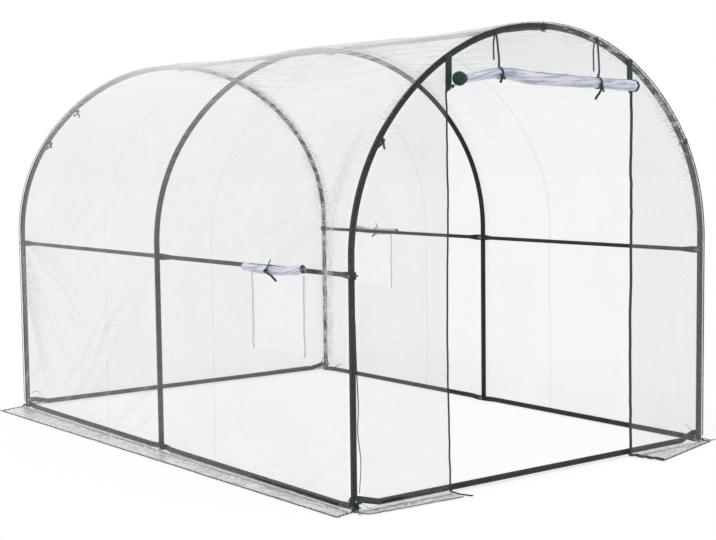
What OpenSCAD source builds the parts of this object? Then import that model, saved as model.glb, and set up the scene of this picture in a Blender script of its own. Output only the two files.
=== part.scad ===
// Walk-in polytunnel greenhouse: three tube arches, flattened-end rails between them,
// and a clear film cover with a rolled-up door, two roll-up windows and ground skirts.
// +Y runs from the door end to the back, +X to the right of somebody facing the door.
// The origin is on the ground at the middle of the footprint.

/* [Arches] */
// Width between the centres of an arch's two legs
span = 2000; // [1600:10:2600]
// Length of one bay, from arch centre to arch centre
bay = 1465; // [1200:5:1800]
// Height of the tube centre at the top of an arch
crown_h = 1855; // [1750:5:2250]
// Height at which the straight legs end and the bends start
leg_h = 940; // [880:5:1000]
// Slope, height over width, of the line across each joint between a bend and the crown
joint_slope = 0.75; // [0.6:0.05:1]
// Outside diameter of the arch and ground tubes
tube_d = 25; // [20:0.5:30]
// Wall of every tube
tube_wall = 1.2; // [0.8:0.1:2]

/* [Rails] */
// Outside diameter of the side and ridge rails
rail_d = 19; // [16:0.5:22]
// Drop of the side rails' centres below the tops of the legs
side_rail_drop = 50; // [20:5:120]
// Thickness of a flattened tube end
flat_t = 2.4; // [1.6:0.1:3]
// Width of the flattened ends of the side and ridge rails
rail_flat_w = 29; // [24:1:31]
// Width of the flattened ends of the ground rails
ground_flat_w = 26; // [22:1:28]
// Length of the flat from the bolt to the start of the round tube's taper
flat_l = 34; // [30:1:60]
// Distance by which a flat's end stops short of the far side of its leg
flat_inset = 1.5; // [1:0.5:4]
// Clearance between flats that are bolted one above another
flat_gap = 1; // [0.5:0.5:5]
// Length over which a tube goes from round to flat
taper_l = 55; // [40:1:80]
// The same where the flat is also raised, at the front and back ground rails' ends
raised_taper_l = 85; // [60:5:120]
// Height of the front and back ground rails' centres
end_rail_h = 20; // [16:1:24]

/* [Cover] */
// Thickness of the film as modelled
film_t = 2; // [1:0.5:3]
// Clearance between the cover and what it lies on
fit = 0.3; // [0.2:0.1:0.6]
// Number of film widths welded together along the tunnel
film_widths = 3; // [3:1:3]
// Thickness of bindings, straps and piping
trim_t = 1.6; // [1:0.1:2.5]

/* [Door] */
// Distance from the middle of the front to the door's left edge
door_left = 535; // [450:5:600]
// Distance from the middle of the front to the door's right edge
door_right = 500; // [450:5:600]
// Drop of the middle of the rolled-up door below the crown's tube centre
door_roll_drop = 220; // [180:5:300]
// Diameter of the rolled-up door
door_roll_d = 55; // [40:1:70]
// Distance by which the roll's left end stops short of the door's left edge
door_roll_short = 70; // [40:5:200]
// Distance by which the roll's right end passes the door's right edge
door_roll_past = 25; // [-50:1:30]
// Diameter of the binding wound round the roll's left end
roll_end_d = 62; // [45:1:75]
// Length of that wound binding
roll_end_l = 58; // [40:1:60]
// Width of the binding on the door's left edge
left_binding_w = 7; // [5:1:15]
// Width of the binding on the door's right edge
right_binding_w = 16; // [10:1:25]
// Width of the door's straps
strap_w = 12; // [8:1:20]
// Distance of the left strap from the middle of the front
left_strap_x = 285; // [150:1:350]
// Distance of the right strap from the middle of the front
right_strap_x = 280; // [200:1:400]
// Length of the straps that hang inside
inner_strap_l = 100; // [60:5:150]

/* [Windows] */
// Distance from the arch plane to the window's nearer edge
window_start = 290; // [250:5:400]
// Length of a window along the tunnel
window_l = 355; // [300:5:420]
// Height of a window's opening
window_h = 310; // [200:5:400]
// Drop of a window's upper edge below the side rail's centre
window_drop = 20; // [10:2:80]
// Diameter of a rolled-up window flap
window_roll_d = 44; // [34:1:54]
// Length by which the roll runs past the window at each end
window_roll_over = 30; // [10:5:40]
// Width of a window's side bindings
window_binding_w = 6; // [4:1:10]

/* [Skirts] */
// Reach of the left skirt beyond the legs' centres at the door end
left_reach_front = 104; // [80:2:200]
// Reach of the left skirt beyond the legs' centres at the back
left_reach_back = 166; // [80:2:190]
// Reach of the right skirt, which is folded under, beyond the legs' centres
right_reach = 68; // [50:2:110]
// Reach of the front and back skirts beyond the arch planes at their left corners
end_reach = 74; // [60:2:120]
// Reach of the front left skirt at the door's left edge
door_left_reach = 100; // [80:2:200]
// Reach of the front right skirt at the door's right edge, and of the back skirt's right corner
door_right_reach = 176; // [120:2:220]
// Length by which the side skirts' front corners stand forward of the arch plane
corner_front = 36; // [20:2:60]
// Length by which the left skirt's back corner stops short of the arch plane
left_corner_back = 36; // [20:2:120]
// Width of the skirts' hem
hem_w = 6; // [4:1:12]
// Reach of the corner ties beyond the legs' centres
tie_reach = 196; // [180:2:240]
// Width of the corner ties
tie_w = 8; // [5:1:14]

/* [Hidden] */
$fn = 96;
hull_fn = 32;

frame_colour = [0.22, 0.24, 0.25];
film_colour = [0.9, 0.92, 0.94, 0.35];
roll_colour = [0.87, 0.87, 0.92];
trim_colour = [0.1, 0.2, 0.16];

left = -1;
right = 1;
front = -1;
middle = 0;
back = 1;
slice = 0.4;
lap = 20;
full_turn = 360;

// The arch is three arcs that meet smoothly: a shoulder bend, the crown and the other bend.
half_span = span / 2;
rise = crown_h - leg_h;
shoulder_sweep = atan(joint_slope);
bend_share = (1 - sin(shoulder_sweep)) / cos(shoulder_sweep);
bend_r = (rise - bend_share * half_span) / (1 - bend_share);
bend_x = half_span - bend_r;
crown_r = bend_r + bend_x / cos(shoulder_sweep);
crown_z = crown_h - crown_r;
crown_sweep = 180 - 2 * shoulder_sweep;

// The film lies on the outside of the arches, so its offsets are from the tubes' centres.
film_in = tube_d / 2 + fit;
film_out = film_in + film_t;
trim_in = film_out + fit;
trim_out = trim_in + trim_t;
wall_x = half_span + film_out;
end_y = bay + film_out;

// The rails are bolted to the insides of the legs.
side_rail_h = leg_h - side_rail_drop;
flat_end_l = tube_d / 2 - flat_inset;
side_ground_h = max(tube_d, ground_flat_w) / 2;
end_bolt_h = side_ground_h + ground_flat_w + flat_gap;
inner_face = half_span - tube_d / 2;
side_rail_x = inner_face - rail_d / 2;

door_roll_h = crown_h - door_roll_drop;
door_roll_left = door_left - door_roll_short;
door_roll_right = door_right + door_roll_past;
roll_y = end_y + trim_t + 2 * fit + door_roll_d / 2;
window_roll_x = wall_x + fit + window_roll_d / 2;
window_mid = window_start + window_l / 2;
window_high = side_rail_h - window_drop;
window_low = window_high - window_h;
film_width = 2 * (bay + film_in) / film_widths;

module tube(d, l) {
    difference() {
        cylinder(d = d, h = l);
        translate([0, 0, -1]) cylinder(d = d - 2 * tube_wall, h = l + 2);
    }
}

// A tube bent to an arc in the XZ plane, from the +X direction up towards +Z.
module bent_tube(r, sweep) {
    rotate([90, 0, 0]) rotate_extrude(angle = sweep, $fn = full_turn) translate([r, 0]) difference() {
        circle(d = tube_d);
        circle(d = tube_d - 2 * tube_wall);
    }
}

// The area under an arch whose line is moved outwards by o, drawn with height along Y.
// Its four parts lap by a sliver inside the outline, so that they join as one.
module arch_area(o) {
    far = 4 * crown_h;
    joint = (bend_r + o) * [cos(shoulder_sweep), sin(shoulder_sweep)];
    past_joint = [0, lap] + 4 * (joint - [0, lap]);
    translate([-half_span - o, 0]) square([span + 2 * o, leg_h]);
    for (side = [left, right]) {
        translate([side * bend_x, leg_h]) intersection() {
            circle(r = bend_r + o, $fn = full_turn);
            polygon([
                [0, -lap], [side * far, -lap],
                [side * past_joint[0], past_joint[1]], [0, lap]
            ]);
        }
    }
    translate([0, crown_z]) intersection() {
        circle(r = crown_r + o, $fn = full_turn);
        polygon([
            [0, 0], [far * cos(shoulder_sweep), far * sin(shoulder_sweep)],
            [0, far], [-far * cos(shoulder_sweep), far * sin(shoulder_sweep)]
        ]);
    }
}

// A shape drawn across the tunnel, carried along it from y0 to y1.
module along(y0, y1) {
    translate([0, y1, 0]) rotate([90, 0, 0]) linear_extrude(y1 - y0) children();
}

// A flat strip on the plane z, from point p to point q, with square ends.
module strip(p, q, w, t) {
    run = q - p;
    translate([p[0], p[1], 0]) rotate([0, 0, atan2(run[1], run[0])])
        translate([0, -w / 2, 0]) cube([norm(run), w, t]);
}

module leg(side, place) {
    color(frame_colour) translate([side * half_span, place * bay, 0]) tube(tube_d, leg_h);
}

module bend(side, place) {
    color(frame_colour) translate([side * bend_x, place * bay, leg_h])
        mirror([side == left ? 1 : 0, 0, 0]) bent_tube(bend_r, shoulder_sweep);
}

module crown(place) {
    color(frame_colour) translate([0, place * bay, crown_z])
        rotate([0, -shoulder_sweep, 0]) bent_tube(crown_r, crown_sweep);
}

// One flattened end of a rail that runs along +Y: the flat lies across X, its bolt is at y = 0,
// and its middle is dx and dz away from the round tube's centre line.
module flat_end(d, w, dx, dz, taper) {
    translate([dx - flat_t / 2, 0, dz]) {
        translate([0, -flat_end_l, -w / 2]) cube([flat_t, flat_l + flat_end_l, w]);
    }
    hull() {
        translate([dx - flat_t / 2, flat_l - slice, dz - w / 2]) cube([flat_t, slice, w]);
        translate([0, flat_l + taper, 0]) rotate([90, 0, 0]) cylinder(d = d, h = slice, $fn = hull_fn);
    }
}

// A rail along +Y between bolts l apart, with a flattened end at each bolt.
module rail(l, d, w, dx0, dx1, dz = 0, taper = taper_l) {
    cap = flat_l + taper;
    flat_end(d, w, dx0, dz, taper);
    translate([0, l, 0]) mirror([0, 1, 0]) flat_end(d, w, dx1, dz, taper);
    translate([0, l - cap, 0]) rotate([90, 0, 0]) tube(d, l - 2 * cap);
}

// Distance from a rail's centre line to the middle of a flat that is the nth on its bolt: the
// side rails lie against the legs, and the other rails in line with the legs and the crowns.
function flat_shift(d, n) = d / 2 - flat_t * (n + 0.5);
function in_line_shift(n) = -tube_d / 2 - flat_t * (n + 0.5);

// At a middle leg the front bay's flat lies on the leg and the back bay's flat lies on it.
module side_rail(side, place) {
    first = flat_shift(rail_d, 0);
    second = flat_shift(rail_d, 1);
    color(frame_colour) translate([side * side_rail_x, place == front ? -bay : 0, side_rail_h])
        mirror([side == left ? 1 : 0, 0, 0])
            rail(bay, rail_d, rail_flat_w, place == front ? first : second, first);
}

module side_ground_rail(side, place) {
    first = in_line_shift(0);
    second = in_line_shift(1);
    color(frame_colour) translate([side * half_span, place == front ? -bay : 0, side_ground_h])
        mirror([side == left ? 1 : 0, 0, 0])
            rail(bay, tube_d, ground_flat_w, place == front ? first : second, first);
}

module ridge_rail(place) {
    first = in_line_shift(0) - fit;
    second = in_line_shift(1) - fit;
    color(frame_colour) translate([0, place == front ? -bay : 0, crown_h]) rotate([0, -90, 0])
        rail(bay, rail_d, rail_flat_w, place == front ? first : second, first);
}

// Its flats are raised above the side ground rails' at the corner legs.
module end_ground_rail(place) {
    first = in_line_shift(0);
    color(frame_colour) translate([0, place * bay, end_rail_h])
        mirror([0, place == front ? 1 : 0, 0]) rotate([0, 0, 90]) translate([0, -half_span, 0])
            rail(span, tube_d, ground_flat_w, first, first, end_bolt_h - end_rail_h, raised_taper_l);
}

module wall_film(side) {
    window_y = side == left ? -bay + window_start : bay - window_start - window_l;
    wall_from = side == left ? -wall_x : half_span + film_in;
    color(film_colour) difference() {
        translate([wall_from, -bay - film_in, 0]) cube([film_t, 2 * (bay + film_in), leg_h]);
        translate([wall_from - 1, window_y, window_low])
            cube([film_t + 2, window_l, window_high - window_low]);
    }
}

module roof_film(index) {
    start = -bay - film_in + index * film_width;
    color(film_colour) along(start, start + film_width) intersection() {
        difference() {
            arch_area(film_out);
            arch_area(film_in);
        }
        translate([-wall_x, leg_h]) square([2 * wall_x, crown_h]);
    }
}

// A piece of an end wall between two distances from the middle, from height z0 up to the arch.
module end_film(place, x0, x1, z0) {
    color(film_colour) along(place == front ? -end_y : end_y - film_t, place == front ? film_t - end_y : end_y)
        intersection() {
            arch_area(film_out);
            translate([x0, z0]) square([x1 - x0, 2 * crown_h]);
        }
}

module door_roll() {
    color(roll_colour) translate([-door_roll_left, -roll_y, door_roll_h]) rotate([0, 90, 0])
        cylinder(d = door_roll_d, h = door_roll_left + door_roll_right);
}

module door_roll_end() {
    color(trim_colour) translate([-door_roll_left - roll_end_l - fit, -end_y - fit - roll_end_d / 2, door_roll_h])
        rotate([0, 90, 0]) cylinder(d = roll_end_d, h = roll_end_l);
}

module window_roll(side) {
    color(roll_colour)
        translate([side * window_roll_x, -side * (window_mid - bay) - (window_l / 2 + window_roll_over), 0])
            translate([0, 0, window_high + window_roll_d / 2]) rotate([-90, 0, 0])
                cylinder(d = window_roll_d, h = window_l + 2 * window_roll_over);
}

// Corner points of the five skirts, each from the foot of the wall out to its hem and back.
foot = film_out + fit;
left_skirt_points = [
    [-half_span - foot, -end_y], [-half_span - left_reach_front, -bay - corner_front],
    [-half_span - left_reach_back, bay - left_corner_back], [-half_span - foot, end_y]
];
right_skirt_points = [
    [half_span + foot, -end_y], [half_span + right_reach - foot, -bay - corner_front],
    [half_span + right_reach, bay], [half_span + foot, end_y]
];
back_skirt_points = [
    [-half_span, bay + foot], [-half_span + foot, bay + end_reach],
    [half_span - foot, bay + door_right_reach], [half_span, bay + foot]
];
front_left_skirt_points = [
    [-half_span, -bay - foot], [-half_span + foot, -bay - end_reach],
    [-door_left - foot, -bay - door_left_reach], [-door_left, -bay - foot]
];
front_right_skirt_points = [
    [door_right, -bay - foot], [door_right + hem_w, -bay - door_right_reach],
    [half_span + 2 * foot, -bay - corner_front - hem_w], [half_span, -bay - foot]
];

module skirt(points) {
    color(film_colour) linear_extrude(film_t) polygon(points);
}

function unit(v) = v / norm(v);
function turned(v) = [-v[1], v[0]];

// Unit vector from a skirt's edge i towards its middle.
function inward(points, i) =
    let (across = turned(unit(points[i + 1] - points[i])))
    let (centre = (points[0] + points[1] + points[2] + points[3]) / 4)
    across * (centre - points[i]) > 0 ? across : -across;

// The skirt's three free edges as one line, moved inwards by d and with mitred corners,
// which starts and ends clear of the wall.
function inset(points, d) =
    let (n = [for (i = [0 : 2]) inward(points, i)])
    [
        points[0] + d * n[0] + 2 * hem_w * unit(points[1] - points[0]),
        points[1] + d * (n[0] + n[1]) / (1 + n[0] * n[1]),
        points[2] + d * (n[1] + n[2]) / (1 + n[1] * n[2]),
        points[3] + d * n[2] - 2 * hem_w * unit(points[3] - points[2])
    ];

// The hem lies on the skirt along its three free edges, just inside its outline.
module hem(points) {
    outer = inset(points, hem_w / 2);
    inner = inset(points, hem_w * 3 / 2);
    linear_extrude(trim_t) polygon([for (i = [0 : 3]) outer[i], for (i = [3 : -1 : 0]) inner[i]]);
}

module skirt_hems() {
    color(trim_colour) translate([0, 0, film_t + fit]) {
        hem(left_skirt_points);
        hem(right_skirt_points);
        hem(back_skirt_points);
        hem(front_left_skirt_points);
        hem(front_right_skirt_points);
    }
}

// Height of the film's outside at distance x from the middle of an end wall.
function arch_top(x) = crown_z + sqrt(pow(crown_r, 2) - pow(x, 2));

module door_bindings() {
    color(trim_colour) translate([0, -end_y - fit - trim_t, 0]) {
        translate([-door_left - left_binding_w, 0, film_t + trim_t + 2 * fit])
            cube([left_binding_w, trim_t, arch_top(door_left) - film_in]);
        translate([door_right, 0, film_t + trim_t + 2 * fit])
            cube([right_binding_w, trim_t, arch_top(door_right) - film_in]);
    }
}

module window_bindings() {
    for (side = [left, right], edge = [-1, 1]) {
        middle_y = -side * (window_mid - bay) + edge * (window_l / 2 + window_binding_w);
        color(trim_colour)
            translate([side > 0 ? wall_x + fit : -wall_x - fit - trim_t, middle_y - window_binding_w / 2, window_low])
                cube([trim_t, window_binding_w, window_high - window_low]);
    }
}

module piping(place) {
    start = place == front ? -end_y : end_y - hem_w;
    color(trim_colour) along(start, start + hem_w) intersection() {
        difference() {
            arch_area(trim_out);
            arch_area(trim_in);
        }
        translate([-2 * span, tube_d]) square([4 * span, 2 * crown_h]);
    }
}

// A strap comes down the front of the film, round the roll and up behind nothing: its free end
// stays under the roll. A second strap hangs inside from the arch.
module door_strap(x) {
    wrap_r = door_roll_d / 2 + fit;
    top = arch_top(x);
    translate([x - strap_w / 2, -roll_y, door_roll_h]) rotate([90, 0, 90]) linear_extrude(strap_w)
        intersection() {
            difference() {
                circle(r = wrap_r + trim_t);
                circle(r = wrap_r);
            }
            translate([-2 * wrap_r, -2 * wrap_r]) square([2 * wrap_r, 4 * wrap_r]);
        }
    translate([x - strap_w / 2, -end_y - fit - trim_t, door_roll_h + wrap_r])
        cube([strap_w, trim_t, top - door_roll_h - wrap_r]);
    translate([x - strap_w / 2, -roll_y - slice, door_roll_h + wrap_r])
        cube([strap_w, roll_y - end_y - fit + slice, trim_t]);
    translate([x + strap_w, -end_y + film_t + fit, top - tube_d / 2 - strap_w - inner_strap_l])
        cube([strap_w, trim_t, inner_strap_l]);
}

module door_straps() {
    color(trim_colour) {
        door_strap(-left_strap_x);
        door_strap(right_strap_x);
    }
}

module window_ties() {
    color(trim_colour) for (side = [left, right])
        translate([side * window_roll_x, -side * (window_mid - bay) - strap_w / 2, window_high + window_roll_d / 2])
            rotate([-90, 0, 0]) difference() {
                cylinder(r = window_roll_d / 2 + fit + trim_t, h = strap_w);
                translate([0, 0, -1]) cylinder(r = window_roll_d / 2 + fit, h = strap_w + 2);
                translate([side > 0 ? -window_roll_d : 0, -window_roll_d, -1])
                    cube([window_roll_d, 2 * window_roll_d, strap_w + 2]);
            }
}

// Ties run out from the outer corners of the side skirts' hems.
module corner_ties() {
    left_back = inset(left_skirt_points, hem_w / 2)[2];
    right_front = inset(right_skirt_points, hem_w / 2)[1];
    right_back = inset(right_skirt_points, hem_w / 2)[2];
    reach = half_span + tie_reach;
    color(trim_colour) translate([0, 0, film_t + fit]) {
        for (tie = [
            [left_back, [-reach, left_back[1]]],
            [right_front, [reach, -bay - tie_reach / 2]],
            [right_back, [reach, bay + tie_reach / 2]]
        ]) strip(tie[0] + fit * unit(tie[1] - tie[0]), tie[1], tie_w, trim_t);
    }
}

leg(left, front);  // front_left_leg
leg(right, front);  // front_right_leg
leg(left, middle);  // middle_left_leg
leg(right, middle);  // middle_right_leg
leg(left, back);  // back_left_leg
leg(right, back);  // back_right_leg
bend(left, front);  // front_left_bend
bend(right, front);  // front_right_bend
bend(left, middle);  // middle_left_bend
bend(right, middle);  // middle_right_bend
bend(left, back);  // back_left_bend
bend(right, back);  // back_right_bend
crown(front);  // front_crown
crown(middle);  // middle_crown
crown(back);  // back_crown
side_rail(left, front);  // front_left_side_rail
side_rail(left, back);  // back_left_side_rail
side_rail(right, front);  // front_right_side_rail
side_rail(right, back);  // back_right_side_rail
ridge_rail(front);  // front_ridge_rail
ridge_rail(back);  // back_ridge_rail
side_ground_rail(left, front);  // front_left_ground_rail
side_ground_rail(left, back);  // back_left_ground_rail
side_ground_rail(right, front);  // front_right_ground_rail
side_ground_rail(right, back);  // back_right_ground_rail
end_ground_rail(front);  // front_ground_rail
end_ground_rail(back);  // back_ground_rail
wall_film(left);  // left_wall_film
wall_film(right);  // right_wall_film
roof_film(0);  // front_roof_film
roof_film(1);  // middle_roof_film
roof_film(2);  // back_roof_film
end_film(back, -wall_x, wall_x, 0);  // back_end_film
end_film(front, -wall_x, -door_left, 0);  // front_left_end_film
end_film(front, door_right, wall_x, 0);  // front_right_end_film
end_film(front, -door_left, door_right, door_roll_h);  // door_film
door_roll();
door_roll_end();
window_roll(left);  // left_window_roll
window_roll(right);  // right_window_roll
skirt(left_skirt_points);  // left_skirt
skirt(right_skirt_points);  // right_skirt
skirt(back_skirt_points);  // back_skirt
skirt(front_left_skirt_points);  // front_left_skirt
skirt(front_right_skirt_points);  // front_right_skirt
skirt_hems();
door_bindings();
window_bindings();
piping(front);  // front_piping
piping(back);  // back_piping
door_straps();
window_ties();
corner_ties();
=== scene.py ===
"""Looks of a walk-in polytunnel greenhouse: clear film cover, rolled door and windows, tapes, ties and bolts.

Lengths are in metres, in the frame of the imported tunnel: X to the right, Y to the back and Z up.
"""

import logging
import math
from collections.abc import Sequence
from dataclasses import dataclass, field
from enum import Enum

import bpy
import numpy as np
from mathutils import Matrix, Vector


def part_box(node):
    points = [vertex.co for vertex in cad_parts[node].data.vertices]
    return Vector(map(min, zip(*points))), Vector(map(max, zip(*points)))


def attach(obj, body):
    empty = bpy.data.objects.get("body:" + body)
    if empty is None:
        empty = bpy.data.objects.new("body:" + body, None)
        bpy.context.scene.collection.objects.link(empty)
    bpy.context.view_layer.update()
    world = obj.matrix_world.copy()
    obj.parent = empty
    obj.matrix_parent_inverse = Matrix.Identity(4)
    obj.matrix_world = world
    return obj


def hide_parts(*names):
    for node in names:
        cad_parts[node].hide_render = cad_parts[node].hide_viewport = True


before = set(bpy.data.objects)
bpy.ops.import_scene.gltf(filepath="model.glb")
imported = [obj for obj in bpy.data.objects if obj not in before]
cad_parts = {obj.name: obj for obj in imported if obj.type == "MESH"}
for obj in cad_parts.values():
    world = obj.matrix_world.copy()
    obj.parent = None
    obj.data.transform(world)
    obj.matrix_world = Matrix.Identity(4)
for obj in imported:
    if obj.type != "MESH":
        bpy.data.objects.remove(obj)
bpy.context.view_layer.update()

Array = np.ndarray
log = logging.getLogger("polytunnel")
UP = np.array([0.0, 0.0, 1.0])
HALF_TURN = math.pi
QUARTER_TURN = math.pi / 2
FULL_TURN = 2 * math.pi

# The cover's mesh: its step, the radius of its bend at the foot, and its height over the floor.
STEP = 0.011
FILLET = 0.012
FLOOR_GAP = 0.002

WHITE = (1, 1, 1, 1)


class Side(Enum):
    """The two long sides of the tunnel, as the sign of X."""

    LEFT = -1
    RIGHT = 1


class End(Enum):
    """The two ends of the tunnel, as the sign of Y."""

    FRONT = -1
    BACK = 1


class Slot(Enum):
    """The record's material slots named for the new pieces; they are passed along but nothing here uses them.
    """

    FILM = "film"
    ROLLED_FILM = "rolled_film"
    TRIM = "trim"


# ---------------------------------------------------------------- numbers over arrays


def ease(x: Array, start: float, stop: float) -> Array:
    """Rises smoothly from 0 at start to 1 at stop (the cubic 3t^2 - 2t^3)."""
    t = np.clip((x - start) / (stop - start), 0, 1)
    return t * t * (3 - 2 * t)


def chance(i: Array, j: Array, salt: float) -> Array:
    """A repeatable number from 0 to 1 for each pair of whole numbers: the fraction of a large sine."""
    wave = np.sin(i * 12.9898 + j * 78.233 + salt * 37.719) * 43758.5453
    return wave - np.floor(wave)


def soft_noise(u: Array, v: Array, salt: float) -> Array:
    """Smooth noise from -1 to 1: a number at each whole corner of the (u, v) plane, eased between them.

    Args:
        u: first coordinate, one unit a cell.
        v: second coordinate, one unit a cell.
        salt: picks one field out of many.

    Returns:
        The noise at each point.
    """
    i, j = np.floor(u), np.floor(v)
    s, t = ease(u - i, 0, 1), ease(v - j, 0, 1)
    low = chance(i, j, salt) * (1 - s) + chance(i + 1, j, salt) * s
    high = chance(i, j + 1, salt) * (1 - s) + chance(i + 1, j + 1, salt) * s
    return 2 * (low * (1 - t) + high * t) - 1


@dataclass(frozen=True)
class Folds:
    """One family of folds in the film.

    height is how far they stand out, pitch the usual distance between them, run their usual length, all in
    metres, and salt picks one field out of many.
    """

    height: float
    pitch: float
    run: float
    salt: float

    def at(self, across: Array, along: Array, more: float = 0) -> Array:
        """Height of folds that run along one direction, sharp at the top and wandering a little.

        It is (1 - |sin|)^1.6 of a phase that noise bends, times a patchy mask, so that folds come and go.

        Args:
            across: distance across the folds.
            along: distance along the folds.
            more: is added to the salt.

        Returns:
            The height at each point.
        """
        salt = self.salt + more
        phase = across / self.pitch + 0.9 * soft_noise(across / (3 * self.pitch), along / self.run, salt)
        patch = ease(soft_noise(across / (2 * self.pitch), along / self.run, salt + 1), -0.35, 0.6)
        return self.height * ((1 - np.abs(np.sin(HALF_TURN * phase))) ** 1.6 * patch)


def grid_lines(breaks: Sequence[float], step: float) -> Array:
    """Numbers from the first break to the last, about step apart, with every break among them."""
    runs = [
        np.linspace(a, b, max(1, round((b - a) / step)) + 1)[:-1]
        for a, b in zip(breaks, breaks[1:])
    ]
    return np.append(np.concatenate(runs), breaks[-1])


def smooth_line(points: Sequence[Sequence[float]], count: int) -> Array:
    """A smooth line through the given points (Catmull-Rom: a cubic between each two points).

    Args:
        points: the points it passes through, in order.
        count: how many points the line gets.

    Returns:
        The line's points, (count, 3).
    """
    p = np.asarray(points, float)
    p = np.vstack([2 * p[0] - p[1], p, 2 * p[-1] - p[-2]])
    at = np.linspace(0, len(p) - 3, count)
    i = np.minimum(at.astype(int), len(p) - 4)
    t = (at - i)[:, None]
    a, b, c, d = p[i], p[i + 1], p[i + 2], p[i + 3]
    return 0.5 * (
        2 * b + (c - a) * t + (2 * a - 5 * b + 4 * c - d) * t**2 + (3 * b - a - 3 * c + d) * t**3
    )


def unit(v: Array) -> Array:
    """The same directions, one unit long."""
    return v / np.maximum(np.linalg.norm(v, axis=-1, keepdims=True), 1e-12)


# ---------------------------------------------------------------- surfaces


@dataclass
class Surface:
    """A mesh on its way into Blender: points, faces, and what each point is marked with."""

    points: Array
    faces: list
    uv: Array
    marks: dict[str, Array] = field(default_factory=dict)

    @classmethod
    def from_grid(
        cls,
        points: Array,
        uv: Array,
        marks: dict[str, Array] | None = None,
        *,
        flip: bool = False,
        closed: bool = False,
        caps: bool = False,
        keep: Array | None = None,
    ) -> "Surface":
        """A surface of four-sided faces over a grid of points. Its outside is rows x columns.

        Args:
            points: (rows, columns, 3).
            uv: (rows, columns, 2), in metres.
            marks: named values, (rows, columns).
            flip: turns the outside round.
            closed: joins the last column to the first.
            caps: closes the first and the last row with a face each.
            keep: (rows - 1, columns - 1), which faces are made.

        Returns:
            The surface.
        """
        rows, columns = points.shape[:2]
        index = np.arange(rows * columns).reshape(rows, columns)
        if closed:
            index = np.hstack([index, index[:, :1]])
        quads = np.stack([index[:-1, :-1], index[1:, :-1], index[1:, 1:], index[:-1, 1:]], axis=-1)
        quads = quads[keep] if keep is not None else quads.reshape(-1, 4)
        faces = (quads[:, ::-1] if flip else quads).tolist()
        if caps:
            first, last = index[0, :columns].tolist(), index[-1, :columns].tolist()
            faces += [first[::-1], last] if flip else [first, last[::-1]]
        return cls(
            points.reshape(-1, 3),
            faces,
            uv.reshape(-1, 2),
            {name: mark.reshape(-1) for name, mark in (marks or {}).items()},
        )

    @classmethod
    def joined(cls, surfaces: Sequence["Surface"]) -> "Surface":
        """One surface of several, which keep their faces apart."""
        starts = np.cumsum([0] + [len(s.points) for s in surfaces]).tolist()
        return cls(
            np.concatenate([s.points for s in surfaces]),
            [[i + start for i in face] for s, start in zip(surfaces, starts) for face in s.faces],
            np.concatenate([s.uv for s in surfaces]),
            {name: np.concatenate([s.marks[name] for s in surfaces]) for name in surfaces[0].marks},
        )

    def piece(self, name: str, finish: "Finish", slot: Slot | None) -> bpy.types.Object:
        """Makes the Blender object, dressed and riding on the tunnel.

        Args:
            name: the piece's name.
            finish: its finish.
            slot: not used.

        Returns:
            The object.
        """
        mesh = bpy.data.meshes.new(name)
        mesh.from_pydata(self.points.tolist(), [], self.faces)
        corners = np.empty(len(mesh.loops), np.int32)
        mesh.loops.foreach_get("vertex_index", corners)
        layer = mesh.uv_layers.new(name="UVMap")
        layer.data.foreach_set("uv", self.uv[corners].astype(np.float32).ravel())
        for mark, values in self.marks.items():
            mesh.attributes.new(mark, "FLOAT", "POINT").data.foreach_set("value", values.astype(np.float32))
        mesh.polygons.foreach_set("use_smooth", np.ones(len(mesh.polygons), bool))
        mesh.materials.append(finish.material())
        mesh.update()
        made = bpy.data.objects.new(name, mesh)
        bpy.context.scene.collection.objects.link(made)
        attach(made, "root")
        return made


def swept(path: Array, across: Array, profile: Array, *, size: Array | None = None) -> Surface:
    """A profile carried along a path, closed at both ends.

    Each profile point p sits at path + p0 * across + p1 * (tangent x across), scaled by size.

    Args:
        path: the path's points, (n, 3).
        across: the direction of the profile's first coordinate, (n, 3) or (3,).
        profile: the profile's points, anticlockwise, (m, 2).
        size: scale of the profile along the path, (n,).

    Returns:
        The surface, with UV along the profile and along the path in metres.
    """
    tangent = unit(np.gradient(path, axis=0))
    across = np.broadcast_to(across, path.shape)
    across = unit(across - (across * tangent).sum(1, keepdims=True) * tangent)
    normal = np.cross(tangent, across)
    size = np.ones(len(path)) if size is None else size
    offsets = size[:, None, None] * (
        profile[None, :, :1] * across[:, None] + profile[None, :, 1:] * normal[:, None]
    )
    around = np.append(0, np.cumsum(np.linalg.norm(np.diff(profile, axis=0), axis=1)))
    along = np.append(0, np.cumsum(np.linalg.norm(np.diff(path, axis=0), axis=1)))
    uv = np.stack(np.meshgrid(around, along), axis=-1)
    return Surface.from_grid(path[:, None] + offsets, uv, closed=True, caps=True, flip=True)


def tape_profile(width: float, thick: float) -> Array:
    """A flat tape's section: a superellipse, |x|^6 + |y|^2 = 1, so that it is flat with soft edges."""
    turn = np.linspace(0, FULL_TURN, 16, endpoint=False)
    x, y = np.cos(turn), np.sin(turn)
    return np.stack(
        [width / 2 * np.sign(x) * np.abs(x) ** (1 / 3), thick / 2 * np.sign(y) * np.abs(y)], axis=1
    )


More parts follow.
